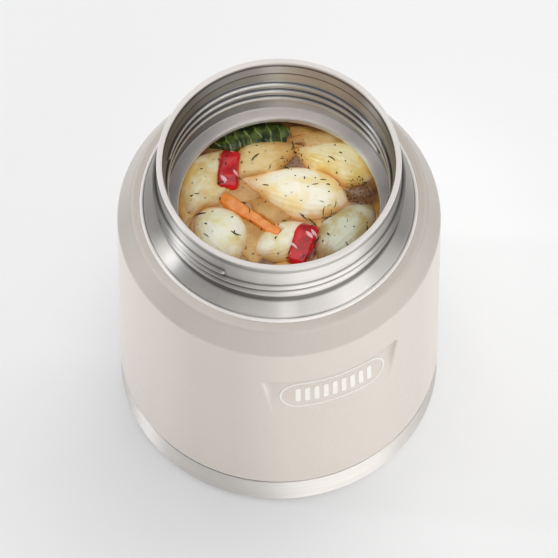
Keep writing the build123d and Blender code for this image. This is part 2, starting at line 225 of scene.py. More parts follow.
class ShaderGraph(Graph):
    """A material's node tree."""

    def place(self) -> Socket:
        """Place on the piece, in metres."""
        return self.node("ShaderNodeTexCoord").outputs["Object"]

    def noise(self, place: Socket, size: float, detail: float = 2.0) -> Field:
        """Soft random values about 0.5.

        Args:
            place: Vector that the pattern follows.
            size: Length of one cell, in the vector's unit.
            detail: Octaves of finer noise.

        Returns:
            The values.
        """
        inputs = {"Vector": place, "Scale": 1 / size, "Detail": detail}
        return Field(self, self.first("ShaderNodeTexNoise", inputs=inputs))

    def mix(self, share: Value, low: Any, high: Any, blend: str = "MIX") -> Socket:
        """Blends two colours.

        Args:
            share: 0 gives the first colour and 1 the second.
            low: First colour or its socket.
            high: Second colour or its socket.
            blend: How they are blended.

        Returns:
            The blend's socket.
        """
        settings = {"data_type": "RGBA", "blend_type": blend}
        return self.node("ShaderNodeMix", settings, {0: share, 6: low, 7: high}).outputs[2]

    def tinted(self, colour: Any, tint: Any) -> Socket:
        """Multiplies two colours."""
        return self.mix(1.0, colour, tint, "MULTIPLY")

    def levels(self, x: Field, y: Field, bands: Bands) -> Socket:
        """Looks a grey level up by the azimuth of a place.

        Args:
            x: The place's first number.
            y: Its second number.
            bands: Azimuths and their levels.

        Returns:
            The grey colour's socket.
        """
        azimuth = self.heading(x, y) - CAMERA_HEADING
        share = self.math("FLOORED_MODULO", azimuth / 360.0 + 0.5, 1.0)
        stops = [((around + 180) / 360, (level, level, level, 1.0)) for around, level in bands]
        return self.first("ShaderNodeValToRGB", {"stops": stops}, {"Fac": share})

    def bump(self, height: Field, depth: float, strength: float = 1.0,
             under: Optional[Socket] = None) -> Socket:
        """Turns a height into a normal.

        Args:
            height: Height of the relief, from 0 to 1.
            depth: What a height of 1 means, in metres.
            strength: Share of the relief that shows.
            under: Normal of a coarser relief under this one.

        Returns:
            The normal's socket.
        """
        inputs = {"Height": height, "Distance": depth, "Strength": strength}
        if under is not None:
            inputs["Normal"] = under
        return self.first("ShaderNodeBump", inputs=inputs)


# --- Finishes ---


@dataclass(frozen=True)
class Finish:
    """A surface's look. Paint gives the shader values that change over the surface, by socket."""

    name: str

    def material(self) -> bpy.types.Material:
        """Makes the material, or finds it if it was made before.

        Returns:
            The material.
        """
        label = f"look_{self.name}"
        made = bpy.data.materials.get(label)
        if made is None:
            made = bpy.data.materials.new(label)
            made.use_nodes = True
            made.node_tree.nodes.clear()
            graph = ShaderGraph(made.node_tree)
            inputs = {**self.constants(), **self.paint(graph)}
            shader = graph.first("ShaderNodeBsdfPrincipled", inputs=inputs)
            graph.node("ShaderNodeOutputMaterial", inputs={"Surface": shader})
        return made

    def constants(self) -> Inputs:
        """Shader values that are the same all over."""
        return {}

    def paint(self, graph: ShaderGraph) -> Inputs:
        """Shader values that change over the surface, by socket."""
        return {}


@dataclass(frozen=True)
class PowderCoat(Finish):
    """Fine matt powder coat, baked on the steel."""

    wall: float  # radius of the wall
    seam_z: float  # the coat ends in a painted shadow line at this height
    shoulder_z: float  # foot of the shoulder
    crease_z: float  # top of the shoulder
    edge_z: float  # height at which the painted highlight and shade on the panel's edges start to show
    colour: Colour = (223, 213, 203)
    edge_highlight: Colour = (252, 247, 240)  # painted highlight on the panel's left edge
    edge_shade: Colour = (96, 86, 78)  # painted shade on its right edge
    # Painted shadow: colour of the dark line where the coat meets the base cup.
    seam_shadow: Colour = (84, 74, 66)
    roughness: float = 0.3
    grain: float = 0.30 * MM
    orange_peel: float = 2.2 * MM
    cloud: float = 24 * MM
    pressed_shade: float = 0.05  # how much darker it is deep in the panel
    collar_shade: float = 0.15
    # Painted shade: levels of the coat round the axis, in upright bands on the wall and all round the
    # shoulder.
    wall_shade_bands: Bands = (
        (-180, 1.0), (-46, 1.0), (-32, 0.91), (-16, 0.89), (2, 1.0), (38, 1.0), (52, 0.96), (62, 0.93),
        (72, 0.98), (80, 1.0), (180, 1.0))
    shoulder_shade_bands: Bands = (
        (-180, 0.8), (-84, 0.6), (-62, 0.77), (-42, 0.7), (-20, 0.75), (0, 0.78), (20, 0.82), (44, 0.83),
        (62, 0.76), (84, 0.65), (180, 0.8))

    def constants(self) -> Inputs:
        """A hard coat with a soft sheen."""
        return {"IOR": 1.5}

    def paint(self, graph: ShaderGraph) -> Inputs:
        """Speckles the coat, gives it its grain and paints its light and shade.

        Args:
            graph: The material's tree.

        Returns:
            Shader values, by socket.
        """
        place = graph.place()
        z = graph.split(place)[2]
        speckle = graph.noise(place, self.grain, 3.0)
        tone = (speckle.eased(0.25, 0.75) * 0.7 + graph.noise(place, self.cloud) * 0.3).at_most(1.0)
        coat = graph.mix(tone, linear(self.colour, 0.93), linear(self.colour))
        # Painted shadow line at the seam.
        seam_shadow = 1.0 - z.eased(self.seam_z + 0.1 * MM, self.seam_z + 0.5 * MM)
        return {
            "Base Color": graph.mix(seam_shadow * 0.85, self._shaded(graph, coat), linear(self.seam_shadow)),
            "Roughness": self.roughness + (speckle - 0.5) * 0.16,
            "Normal": graph.bump(speckle, 0.012 * MM, 0.8,
                                 graph.bump(graph.noise(place, self.orange_peel, 1.0), 0.010 * MM)),
        }

    def _shaded(self, graph: ShaderGraph, coat: Socket) -> Socket:
        """Paints shade on the wall, the shoulder, the collar and the panel, and a highlight on the panel's
        left edge.

        Args:
            graph: The material's tree.
            coat: Colour of the coat.

        Returns:
            The shaded colour's socket.
        """
        x, y, z = graph.split(graph.place())
        # Painted shade on the shoulder, the collar and in bands round the wall.
        shoulder = z.eased(self.shoulder_z - 0.2 * MM, self.shoulder_z + 0.8 * MM)
        collar = z.eased(self.crease_z - 0.6 * MM, self.crease_z)
        level = graph.mix(shoulder, graph.levels(x, y, self.wall_shade_bands),
                          graph.levels(x, y, self.shoulder_shade_bands))
        level = graph.mix(collar, level, (*[1.0 - self.collar_shade] * 3, 1.0))
        depth = self.wall - graph.length(x, y)
        under_shoulder = 1.0 - z.eased(self.shoulder_z - 2.2 * MM, self.shoulder_z - 1.6 * MM)
        pressed = depth.eased(0.05 * MM, 1.3 * MM) * under_shoulder
        shaded = graph.mix(pressed * self.pressed_shade, graph.tinted(coat, level), BLACK)
        # Painted highlight on the panel's left edge and painted shade on its right edge.
        edge = pressed * (1.0 - depth.eased(0.5 * MM, 1.3 * MM)) * z.eased(self.edge_z, self.edge_z + 6 * MM)
        azimuth = graph.heading(x, y) - CAMERA_HEADING
        shaded = graph.mix(edge * azimuth.hump(-12.0, -9.0, -5.0, -2.0) * 0.9, shaded, linear(self.edge_highlight))
        return graph.mix(edge * azimuth.hump(42.0, 45.0, 52.0, 54.0) * 0.45, shaded, linear(self.edge_shade))


@dataclass(frozen=True)
class BrushedSteel(Finish):
    """Stainless steel with brush lines round the axis, which draw each lamp out into an upright band."""

    colour: Colour = (250, 246, 241)
    roughness: float = 0.5
    swing: float = 0.10 * MM  # relief of the lines
    line: float = 0.26 * MM
    spread: float = 0.96  # how much more a reflection spreads upright than sideways

    def constants(self) -> Inputs:
        """Bare metal that spreads a reflection across its brush lines."""
        return {"Metallic": 1.0, "Anisotropic": self.spread, "Anisotropic Rotation": 0.25}

    def paint(self, graph: ShaderGraph) -> Inputs:
        """Draws fine and coarse brush lines, and faint cloudy wear.

        Args:
            graph: The material's tree.

        Returns:
            Shader values, by socket.
        """
        place = graph.place()
        x, y, z = graph.split(place)
        radius = graph.length(x, y)

        def drawn(width: float, pace: float, detail: float) -> Field:
            """Noise that is drawn out round the axis."""
            across = (z + radius) / width
            return graph.noise(graph.join(x / radius * pace, y / radius * pace, across), 1.0, detail)

        fine = drawn(self.line, 3.0, 2.0)
        lines = fine.eased(0.2, 0.8) * 0.65 + drawn(self.line * 6, 1.5, 1.0).eased(0.2, 0.8) * 0.35
        wear = graph.noise(place, 15 * MM) - 0.5
        return {
            "Base Color": graph.mix(lines, linear(self.colour, 0.84), linear(self.colour)),
            "Roughness": self.roughness + (lines - 0.5) * 0.12 + wear * 0.06,
            "Normal": graph.bump(fine, self.swing),
        }


class ThreadSide(Enum):
    """Which face of a turned wall a thread stands on."""

    OUTSIDE = 1
    INSIDE = -1


@dataclass(frozen=True)
class ThreadedSteel(BrushedSteel):
    """Brushed steel of a wall with rolled ridges, with painted reflections and shade round the axis."""

    wall: float = 0.0  # radius of the wall
    side: ThreadSide = ThreadSide.OUTSIDE
    ridges_from: float = 0.0  # height above which the wall has ridges
    ridges_to: float = 0.0
    lines: tuple[tuple[float, float, float], ...] = ()  # painted shade lines round the wall: height, half width, darkness
    root_shade: float = 0.65  # how dark the painted shade at the foot of a ridge is
    crest_highlight: float = 0.0  # how bright the painted highlight on its crest is
    foot: float = 0.0  # how dark the painted shadow at the wall's own foot is
    bands: Bands = EVEN  # painted reflections: level of the wall round the axis
    low_reflection_bands: Bands = EVEN  # and painted reflections on what is under it
    root_shade_colour: Colour = (70, 66, 62)
    line_shade_colour: Colour = (60, 56, 52)

    def paint(self, graph: ShaderGraph) -> Inputs:
        """Paints reflections round the axis, shade at the root of each ridge, a highlight on its crest and
        shade lines.

        Args:
            graph: The material's tree.

        Returns:
            Shader values, by socket.
        """
        paint = super().paint(graph)
        x, y, z = graph.split(graph.place())
        low, high = self.ridges_from, self.ridges_to
        # Painted reflections: levels round the axis, one set for the wall and one for what is under it.
        level = graph.mix(z.eased(low - 1.4 * MM, low - 0.4 * MM), graph.levels(x, y, self.low_reflection_bands),
                          graph.levels(x, y, self.bands))
        painted_colour = graph.tinted(paint["Base Color"], level)
        inside = z.hump(low, low + 0.5 * MM, high - 0.5 * MM, high)
        # Painted shadow of the lowest ridge at the wall's foot.
        ring = z.hump(low - 1.8 * MM, low - 1.1 * MM, low + 0.4 * MM, low + 1.2 * MM) * self.foot
        rise = (graph.length(x, y) - self.wall) * float(self.side.value)
        # Painted shade at the root of each ridge.
        root = rise.hump(0.0, 0.22 * MM, 0.4 * MM, 0.95 * MM) * inside
        painted_colour = graph.mix((root * self.root_shade).at_least(ring), painted_colour, linear(self.root_shade_colour))
        # Painted highlight on each crest.
        painted_colour = graph.mix(rise.eased(0.72 * MM, 1.0 * MM) * inside * self.crest_highlight, painted_colour, linear(self.colour))
        # Painted shade lines round the wall.
        for height, half, darkness in self.lines:
            near = 1.0 - graph.math("ABSOLUTE", z - height).eased(half * 0.5, half)
            painted_colour = graph.mix(near * darkness, painted_colour, linear(self.line_shade_colour))
        return {**paint, "Base Color": painted_colour}


@dataclass(frozen=True)
class NeckSteel(ThreadedSteel):
    """Steel of the neck, with a satin bead round its foot that is painted bright as its highlight."""

    colour: Colour = (244, 240, 235)
    roughness: float = 0.44
    foot: float = 0.75
    # Painted reflections on the wall and, lower down, on the cone, by azimuth.
    bands: Bands = (
        (-180, 0.75), (-85, 0.32), (-62, 0.52), (-51, 1.0), (-42, 0.85), (-28, 0.6), (-8, 0.95), (10, 1.0),
        (38, 1.0), (52, 0.72), (66, 0.5), (90, 0.4), (130, 0.85), (180, 0.75))
    low_reflection_bands: Bands = (
        (-180, 1.0), (-88, 0.74), (-72, 0.74), (-65, 1.0), (-57, 1.0), (-50, 0.62), (-40, 0.76), (-28, 0.83),
        (-18, 1.0), (2, 1.0), (10, 0.72), (20, 0.8), (30, 1.0), (62, 1.0), (71, 0.78), (88, 0.84), (120, 1.0),
        (180, 1.0))
    bead_radius: float = 1.0  # beyond this the steel is the bead
    # Pale colour of the bead, a painted highlight.
    bead: Colour = (248, 243, 239)
    satin: float = 0.7  # how much less of a mirror the bead is

    def paint(self, graph: ShaderGraph) -> Inputs:
        """Makes the bead satin and paints it bright as its highlight.

        Args:
            graph: The material's tree.

        Returns:
            Shader values, by socket.
        """
        paint = super().paint(graph)
        x, y, _ = graph.split(graph.place())
        # The bead is made pale and less of a mirror: a painted highlight.
        bead = graph.length(x, y).eased(self.bead_radius, self.bead_radius + 0.15 * MM)
        paint["Base Color"] = graph.mix(bead, paint["Base Color"], linear(self.bead))
        paint["Metallic"] = 1.0 - bead * self.satin
        return paint


@dataclass(frozen=True)
class VesselSteel(ThreadedSteel):
    """Steel inside the jar, with painted reflections round the axis; satin on the sealing ledge and the rim,
    which have painted light and shade.
    """

    colour: Colour = (249, 250, 252)
    roughness: float = 0.36
    swing: float = 0.05 * MM
    side: ThreadSide = ThreadSide.INSIDE
    root_shade: float = 0.9
    crest_highlight: float = 0.85
    # Painted reflections: level of the wall round the axis.
    bands: Bands = (
        (-180, 0.85), (-168, 0.44), (-142, 0.32), (-100, 0.32), (-30, 0.5), (60, 0.38), (100, 0.38),
        (128, 0.55), (148, 0.85), (172, 0.9), (180, 0.85))
    ledge_z: float = 0.0
    rim_z: float = 0.0
    # Painted light and shade on the ledge and the rim, by azimuth.
    ledge_light_bands: Bands = (
        (-180, 1.0), (-160, 1.0), (-138, 0.62), (-100, 0.42), (-30, 0.8), (30, 0.8), (100, 0.45), (122, 0.78),
        (138, 0.7), (160, 1.0), (180, 1.0))
    lip_light_bands: Bands = (
        (-180, 0.84), (-110, 0.84), (-90, 0.87), (-70, 0.82), (0, 0.8), (90, 0.84), (110, 0.86), (180, 0.84))
    satin_colour: Colour = (252, 245, 240)
    satin: float = 0.85  # how much less of a mirror the satin steel is

    def paint(self, graph: ShaderGraph) -> Inputs:
        """Makes the ledge and the rim satin, with painted light and shade round the axis.

        Args:
            graph: The material's tree.

        Returns:
            Shader values, by socket.
        """
        paint = super().paint(graph)
        x, y, z = graph.split(graph.place())
        ledge = 1.0 - graph.math("ABSOLUTE", z - self.ledge_z).eased(0.15 * MM, 0.5 * MM)
        lip = z.eased(self.rim_z - 0.8 * MM, self.rim_z - 0.4 * MM)
        level = graph.mix(lip, graph.levels(x, y, self.ledge_light_bands), graph.levels(x, y, self.lip_light_bands))
        bright = ledge.at_least(lip)
        satin = graph.tinted(linear(self.satin_colour), level)
        paint["Base Color"] = graph.mix(bright, paint["Base Color"], satin)
        paint["Metallic"] = 1.0 - bright * self.satin
        return paint


@dataclass(frozen=True)
class MarkPrint(Finish):
    """Pale satin print on the panel."""

    colour: Colour = (246, 243, 237)

    def paint(self, graph: ShaderGraph) -> Inputs:
        """Lets the print vary a little.

        Args:
            graph: The material's tree.

        Returns:
            Shader values, by socket.
        """
        blot = graph.noise(graph.place(), 0.6 * MM)
        return {
            "Base Color": graph.mix(blot, linear(self.colour, 0.95), linear(self.colour)),
            "Roughness": 0.38 + (blot - 0.5) * 0.1,
        }


@dataclass(frozen=True)
class PlainPiece(Finish):
    """Any hidden or small piece: one colour with a fine mottle and grain."""

    colour: Colour
    roughness: float
    metallic: float
    grain: float

    def constants(self) -> Inputs:
        """Metal or not."""
        return {"Metallic": self.metallic}

    def paint(self, graph: ShaderGraph) -> Inputs:
        """Mottles the colour and roughens the surface.

        Args:
            graph: The material's tree.

        Returns:
            Shader values, by socket.
        """
        mottle = graph.noise(graph.place(), self.grain, 3.0)
        return {
            "Base Color": graph.mix(mottle, linear(self.colour, 0.85), linear(self.colour)),
            "Roughness": self.roughness + (mottle - 0.5) * 0.15,
            "Normal": graph.bump(mottle, 0.02 * MM, 0.5),
        }


@dataclass(frozen=True)
class Pasta(Finish):
    """Cooked pasta, pale on its back and darker towards its edge, partly steeped in broth and partly painted
    shade.
    """

    pale: Colour
    warm: Colour
    steeped_and_shaded: Colour
    broth_z: float
    stand: float = 3.3 * MM  # height at which the back is fully pale
    glow: float = 0.22  # painted glow: emission that brightens the flesh

    def constants(self) -> Inputs:
        """Moist, a little translucent, and glowing with painted light."""
        return {"Subsurface Weight": 0.15, "Subsurface Radius": (1.0, 0.85, 0.55), "Subsurface Scale": 1 * MM,
                "Coat Weight": 0.6, "Coat Roughness": 0.14, "IOR": 1.42, "Emission Strength": self.glow}

    def paint(self, graph: ShaderGraph) -> Inputs:
        """Darkens the edge, partly steeping and partly painted shade, clouds the back and wets the surface.

        Args:
            graph: The material's tree.

        Returns:
            Shader values, by socket.
        """
        place = graph.place()
        z = graph.split(place)[2]
        cloud = graph.noise(place, 7 * MM, 3.0)
        fleck = graph.noise(place, 1.1 * MM, 3.0)
        height = (z - self.broth_z) * (1 / self.stand) + (cloud - 0.5) * 0.8
        back = graph.mix(cloud.eased(0.36, 0.62), linear(self.warm), linear(self.pale))
        # Darker towards the broth: partly steeped colour, partly painted shade.
        body = graph.mix(height.eased(-0.2, 1.1), linear(self.steeped_and_shaded), back)
        shade = graph.mix(fleck.eased(0.62, 0.8) * 0.35, body, linear(self.steeped_and_shaded))
        return {
            "Base Color": shade,
            # The emission is painted glow.
            "Emission Color": shade,
            "Roughness": 0.34 + (fleck - 0.5) * 0.2,
            "Normal": graph.bump(graph.noise(place, 0.9 * MM), 0.12 * MM, 0.6),
        }


@dataclass(frozen=True)
class Vegetable(Finish):
    """Cooked vegetable with a wet skin."""

    skin: Colour
    flesh: Colour
    wet: float
    cell: float = 1.6 * MM
    translucence: float = 0.1
    # Painted glow: emission that brightens the vegetable.
    glow: float = 0.22
    streak_highlight: float = 0.0  # strength of the pale painted highlight streaks on the skin
    streak_highlight_colour: Colour = (255, 206, 208)

    def constants(self) -> Inputs:
        """Wet, a little translucent, and glowing with painted light."""
        flesh = {"Subsurface Weight": self.translucence, "Subsurface Radius": (1.0, 0.35, 0.2), "IOR": 1.45,
                 "Subsurface Scale": 1 * MM, "Emission Strength": self.glow}
        return {**flesh, "Coat Weight": self.wet, "Coat Roughness": 0.06}

    def paint(self, graph: ShaderGraph) -> Inputs:
        """Mottles the skin and paints highlight streaks on it.

        Args:
            graph: The material's tree.

        Returns:
            Shader values, by socket.
        """
        place = graph.place()
        x, y, _ = graph.split(place)
        patch = graph.noise(place, self.cell * 2.5)
        shade = graph.mix(patch.eased(0.35, 0.68), linear(self.flesh), linear(self.skin))
        # Painted highlight streaks.
        streak = graph.noise(graph.join((x + y * 0.3) * 1.9, y * 0.7, 0.0), 3.4 * MM, 0.0)
        shade = graph.mix(streak.eased(0.65, 0.71) * self.streak_highlight, shade, linear(self.streak_highlight_colour))
        return {
            "Base Color": shade,
            # The emission is painted glow.
            "Emission Color": shade,
            "Roughness": 0.24 + (graph.noise(place, self.cell * 0.5, 3.0) - 0.5) * 0.2,
            "Normal": graph.bump(graph.noise(place, self.cell), 0.18 * MM, 0.7),
        }


@dataclass(frozen=True)
class Leaf(Finish):
    """Dark green leaf whose pale veins run across the sheet of leaf."""

    blade: Colour = (40, 58, 28)
    light: Colour = (104, 124, 52)
    vein: Colour = (186, 192, 124)
    veins: int = 8

    def constants(self) -> Inputs:
        """Wet."""
        return {"Coat Weight": 0.4, "Coat Roughness": 0.16, "IOR": 1.4}

    def paint(self, graph: ShaderGraph) -> Inputs:
        """Draws the veins along the leaf's own map.

        Args:
            graph: The material's tree.

        Returns:
            Shader values, by socket.
        """
        u, v, _ = graph.split(graph.first("ShaderNodeUVMap", {"uv_map": "leaf"}))
        place = graph.place()
        cloud = graph.noise(place, 3.5 * MM, 3.0)
        wander = graph.noise(place, 9 * MM, 1.0)
        along = u + v * 0.06 + (cloud - 0.5) * 0.03 + (wander - 0.5) * 0.16
        ripple = graph.math("SINE", along * (2 * pi * self.veins))
        vein = ripple.eased(0.84, 0.99) * cloud.eased(0.3, 0.6)
        blade = graph.mix(cloud.eased(0.4, 0.66), linear(self.blade), linear(self.light))
        return {
            "Base Color": graph.mix(vein * 0.75, blade, linear(self.vein)),
            "Roughness": 0.3 + (cloud - 0.5) * 0.2,
            "Normal": graph.bump(ripple * 0.5 + 0.5 + cloud, 0.25 * MM, 0.6),
        }


@dataclass(frozen=True)
class Broth(Finish):
    """Golden-brown broth, cloudy with spice and darker in a few patches."""

    deep: Colour = (104, 72, 48)
    golden: Colour = (208, 152, 74)
    cloudy: Colour = (194, 144, 90)
    dark_patch_colour: Colour = (116, 72, 36)
    spice: Colour = (64, 40, 24)
    dark_patches: tuple[tuple[float, float, float], ...] = (
        (4.5 * MM, 21 * MM, 5.5 * MM), (27 * MM, 7.5 * MM, 6.5 * MM), (-4 * MM, -17 * MM, 4.5 * MM),
        (3 * MM, 33 * MM, 6 * MM))  # in the food's layout: right, away from the camera, reach

    def constants(self) -> Inputs:
        """A liquid's surface."""
        return {"Coat Weight": 1.0, "Coat Roughness": 0.04, "IOR": 1.34}

    def paint(self, graph: ShaderGraph) -> Inputs:
        """Clouds the broth, with darker depths, a few darker patches and grains of spice.

        Args:
            graph: The material's tree.

        Returns:
            Shader values, by socket.
        """
        place = graph.place()
        x, y, _ = graph.split(place)
        cloud = graph.noise(place, 9 * MM, 3.0)
        depth = graph.noise(place, 5 * MM)
        grain = graph.noise(place, 0.55 * MM)
        body = graph.mix(cloud.eased(0.38, 0.6), linear(self.cloudy), linear(self.golden))
        body = graph.mix(depth.eased(0.46, 0.7) * 0.85, body, linear(self.deep))
        # Darker brown in a few round patches.
        for right, away, reach in self.dark_patches:
            near_x, near_y = rotated(right, away, CONTENTS_TURN)
            gap = graph.length(x - near_x, y - near_y) + (grain - 0.5) * (3 * MM)
            body = graph.mix((1.0 - gap.eased(reach * 0.6, reach)) * 0.7, body, linear(self.dark_patch_colour))
        return {
            "Base Color": graph.mix(grain.eased(0.64, 0.74) * 0.8, body, linear(self.spice)),
            "Roughness": 0.12 + (grain - 0.5) * 0.16,
            "Normal": graph.bump(depth, 0.3 * MM, 0.5),
        }


@dataclass(frozen=True)
class Herb(Finish):
    """Dried and fresh herb."""

    dark: Colour
    fresh: Colour

    def paint(self, graph: ShaderGraph) -> Inputs:
        """Goes from dark to fresh from one piece of herb to the next.

        Args:
            graph: The material's tree.

        Returns:
            Shader values, by socket.
        """
        hue = graph.noise(graph.place(), 2.6 * MM, 1.0)
        return {
            "Base Color": graph.mix(hue.eased(0.52, 0.72), linear(self.dark), linear(self.fresh)),
            "Roughness": 0.42 + (hue - 0.5) * 0.2,
        }


@dataclass(frozen=True)
class FloorPaint(Finish):
    """Pale studio floor that glows a little, with a soft painted shadow to the camera's left and painted
    light round the rest of the jar.
    """

    colour: Colour = (203, 203, 203)
    # Colour of the painted shadow.
    painted_shadow_colour: Colour = (199, 199, 200)
    glow: float = 0.325
    # Painted shadow: how much of the glow the patch takes away.
    falloff: float = 0.5
    patch_turn: float = -50.0  # azimuth of the soft painted shadow
    patch_out: float = 34 * MM  # and how far from the axis it lies
    lift: float = 0.36  # painted light: the floor's extra glow near the jar
    # Share of the painted light at each azimuth.
    lifted: Bands = (
        (-180, 1.0), (-95, 1.0), (-81, 0.6), (-61, 0.12), (-44, 0.0), (-20, 0.0), (0, 0.2), (44, 1.0),
        (180, 1.0))

    def constants(self) -> Inputs:
        """Matt."""
        return {"Roughness": 0.9, "Emission Strength": self.glow}

    def paint(self, graph: ShaderGraph) -> Inputs:
        """Paints a wide soft shadow into the glow, and paints extra light round the rest of the jar.

        Args:
            graph: The material's tree.

        Returns:
            Shader values, by socket.
        """
        x, y, _ = graph.split(graph.place())
        patch_x, patch_y = rotated(self.patch_out, 0.0, CAMERA_HEADING + self.patch_turn)
        # Painted shadow in a wide soft patch, and painted light near the jar.
        patch = 1.0 - graph.length(x - patch_x, y - patch_y).eased(12 * MM, 140 * MM)
        near = 1.0 - graph.length(x, y).eased(60 * MM, 130 * MM)
        lifted = graph.split(graph.levels(x, y, self.lifted))[0] * self.lift
        grey = 1.0 - patch * self.falloff + near * lifted
        return {
            "Base Color": graph.mix(patch, linear(self.colour), linear(self.painted_shadow_colour)),
            "Emission Color": graph.join(grey, grey, grey),
        }


# --- Meshes ---

ON_AXIS = MM / 100  # a point with a smaller radius is on the axis


def add_piece(name: str, vertices: Array, faces: Sequence[Sequence[int]], finish: Finish) -> Object:
    """Makes a smooth mesh object at the origin.

    Args:
        name: Name of the piece.
        vertices: One row of three numbers for each vertex, in metres.
        faces: Vertex numbers of each face.
        finish: Its look.

    Returns:
        The object.
    """
    mesh = bpy.data.meshes.new(name)
    mesh.from_pydata(vertices.tolist(), [], faces)
    mesh.materials.append(finish.material())
    mesh.shade_smooth()
    made = bpy.data.objects.new(name, mesh)
    bpy.context.scene.collection.objects.link(made)
    return made


def settle(piece: Object, slot: str, *nodes: str) -> None:
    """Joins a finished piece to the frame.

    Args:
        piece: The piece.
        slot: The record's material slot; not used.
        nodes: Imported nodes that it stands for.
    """
    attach(piece, BODY)
    if nodes:
        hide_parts(*nodes)
    log.info("%s: %d faces", piece.name, len(piece.data.polygons))


@dataclass
class SheetPath:
    """Middle line of a turned sheet, as corners in radius and height.

    The side on the right of the line's direction faces out of the finished loop.
    """

    points: list[Point]
    bends: list[float]
    gauge: float
    steps: list[float]  # spacing on the shown side, one for each straight run
    coarse: float = 4 * MM  # spacing on the other side
    guard: float = 0.12 * MM  # first step after a bend
    bend_step: float = 12.0  # degrees

    def side(self, shift: float, steps: Sequence[float]) -> list[complex]:
        """Samples the line, moved to its right.

        Args:
            shift: How far it is moved.
            steps: Spacing along each straight run.

        Returns:
            Points, as radius plus height times i.
        """
        corners = [complex(*point) for point in self.points]
        spots: list[complex] = []
        start = corners[0]
        for index, step in enumerate(steps):
            ahead = corners[index + 1] - corners[index]
            ahead /= abs(ahead)
            turn = bend = 0.0
            if index < len(self.bends):
                out = corners[index + 2] - corners[index + 1]
                turn = cmath.phase(out / ahead)
                bend = self.bends[index]
            end = corners[index + 1] - ahead * bend * tan(abs(turn) / 2)
            spots += self._run(start, end, step, -1j * ahead * shift)
            if bend:
                centre = end + 1j * ahead * bend * (1 if turn > 0 else -1)
                spoke = end - 1j * ahead * shift - centre
                parts = max(2, round(degrees(abs(turn)) / self.bend_step))
                spots += [centre + spoke * cmath.exp(1j * turn * part / parts) for part in range(1, parts)]
                start = centre + (end - centre) * cmath.exp(1j * turn)
        return spots

    def _run(self, start: complex, end: complex, step: float, shift: complex) -> list[complex]:
        """Samples a straight run, with a short first and last step.

        Args:
            start: Where it starts on the middle line.
            end: Where it ends.
            step: Spacing of its points.
            shift: How far they are moved.

        Returns:
            Points, as radius plus height times i.
        """
        length = abs(end - start)
        guard = min(self.guard, length / 3)
        parts = max(1, round((length - 2 * guard) / step))
        shares = [0.0, *(guard + (length - 2 * guard) * part / parts for part in range(parts + 1)), length]
        return [start + (end - start) * share / length + shift for share in shares]

    def loop(self) -> list[Point]:
        """Makes the closed section, round at its ends and open at the axis.

        Returns:
            Points of radius and height, counterclockwise.
        """
        half = self.gauge / 2
        shown = self.side(half, self.steps)
        back = self.side(-half, [self.coarse] * len(self.steps))[::-1]
        loop = shown + self._cap(shown[-1], back[0]) + back + self._cap(back[-1], shown[0])
        return [(spot.real, spot.imag) for spot in loop]

    def _cap(self, start: complex, end: complex) -> list[complex]:
        """Rounds the end of the sheet, unless it ends on the axis.

        Args:
            start: End of one side.
            end: Start of the other.

        Returns:
            Points between the two.
        """
        if start.real < ON_AXIS:
            return []
        centre = (start + end) / 2
        return [centre + (start - centre) * cmath.exp(1j * pi * part / 6) for part in range(1, 6)]


def turned(name: str, sections: Sequence[Sequence[Point]], finish: Finish, headings: Sequence[float],
           pressed: Optional[Callable[[Array], Array]] = None) -> Object:
    """Turns closed sections about the axis.

    Args:
        name: Name of the piece.
        sections: Closed sections of radius and height, counterclockwise.
        finish: Its look.
        headings: Where the sections stand, in degrees, going once round.
        pressed: Moves the finished vertices.

    Returns:
        The object.
    """
    angles = np.radians(np.asarray(headings))
    count = len(angles)
    vertices: list[Array] = []
    faces: list[tuple[int, ...]] = []
    total = 0
    for section in sections:
        rings: list[range] = []
        for radius, height in section:
            reach, spots = (0.0, angles[:1]) if radius < ON_AXIS else (radius, angles)
            vertices.append(np.column_stack([reach * np.cos(spots), reach * np.sin(spots),
                                             np.full(len(spots), height)]))
            rings.append(range(total, total + len(spots)))
            total += len(spots)
        for low, high in zip(rings, rings[1:] + rings[:1]):
            if len(low) == 1 and len(high) == 1:
                continue
            for j in range(count):
                k = (j + 1) % count
                if len(low) == 1:
                    faces.append((low[0], high[k], high[j]))
                elif len(high) == 1:
                    faces.append((low[j], low[k], high[0]))
                else:
                    faces.append((low[j], low[k], high[k], high[j]))
    placed = np.concatenate(vertices)
    if pressed is not None:
        placed = pressed(placed)
    return add_piece(name, placed, faces, finish)


def even(count: int) -> list[float]:
    """Headings spaced evenly round the axis."""
    return [360 * part / count for part in range(count)]


def circle(centre: Point, radius: float, parts: int) -> list[Point]:
    """A round section, counterclockwise."""
    turns = [2 * pi * part / parts for part in range(parts)]
    return [(centre[0] + radius * cos(turn), centre[1] + radius * sin(turn)) for turn in turns]


def wrapped(name: str, rings: Array, finish: Finish) -> Object:
    """Skins closed rings of vertices, with a point at each end.

    Args:
        name: Name of the piece.
        rings: Vertices by ring and by place on the ring; the first and last rings are points.
        finish: Its look.

    Returns:
        The object.
    """
    count, around = rings.shape[:2]
    body = rings[1:-1].reshape(-1, 3)
    vertices = np.vstack([rings[0, :1], body, rings[-1, :1]])
    last = len(vertices) - 1
    faces: list[tuple[int, ...]] = []
    for j in range(around):
        k = (j + 1) % around
        faces.append((0, 1 + k, 1 + j))
        faces.append((last, last - around + j, last - around + k))
        for i in range(count - 3):
            low = 1 + i * around
            faces.append((low + j, low + k, low + around + k, low + around + j))
    made = add_piece(name, vertices, faces, finish)
    shell = bmesh.new()
    shell.from_mesh(made.data)
    bmesh.ops.recalc_face_normals(shell, faces=shell.faces)
    shell.to_mesh(made.data)
    shell.free()
    return made


# --- Geometry Nodes ---


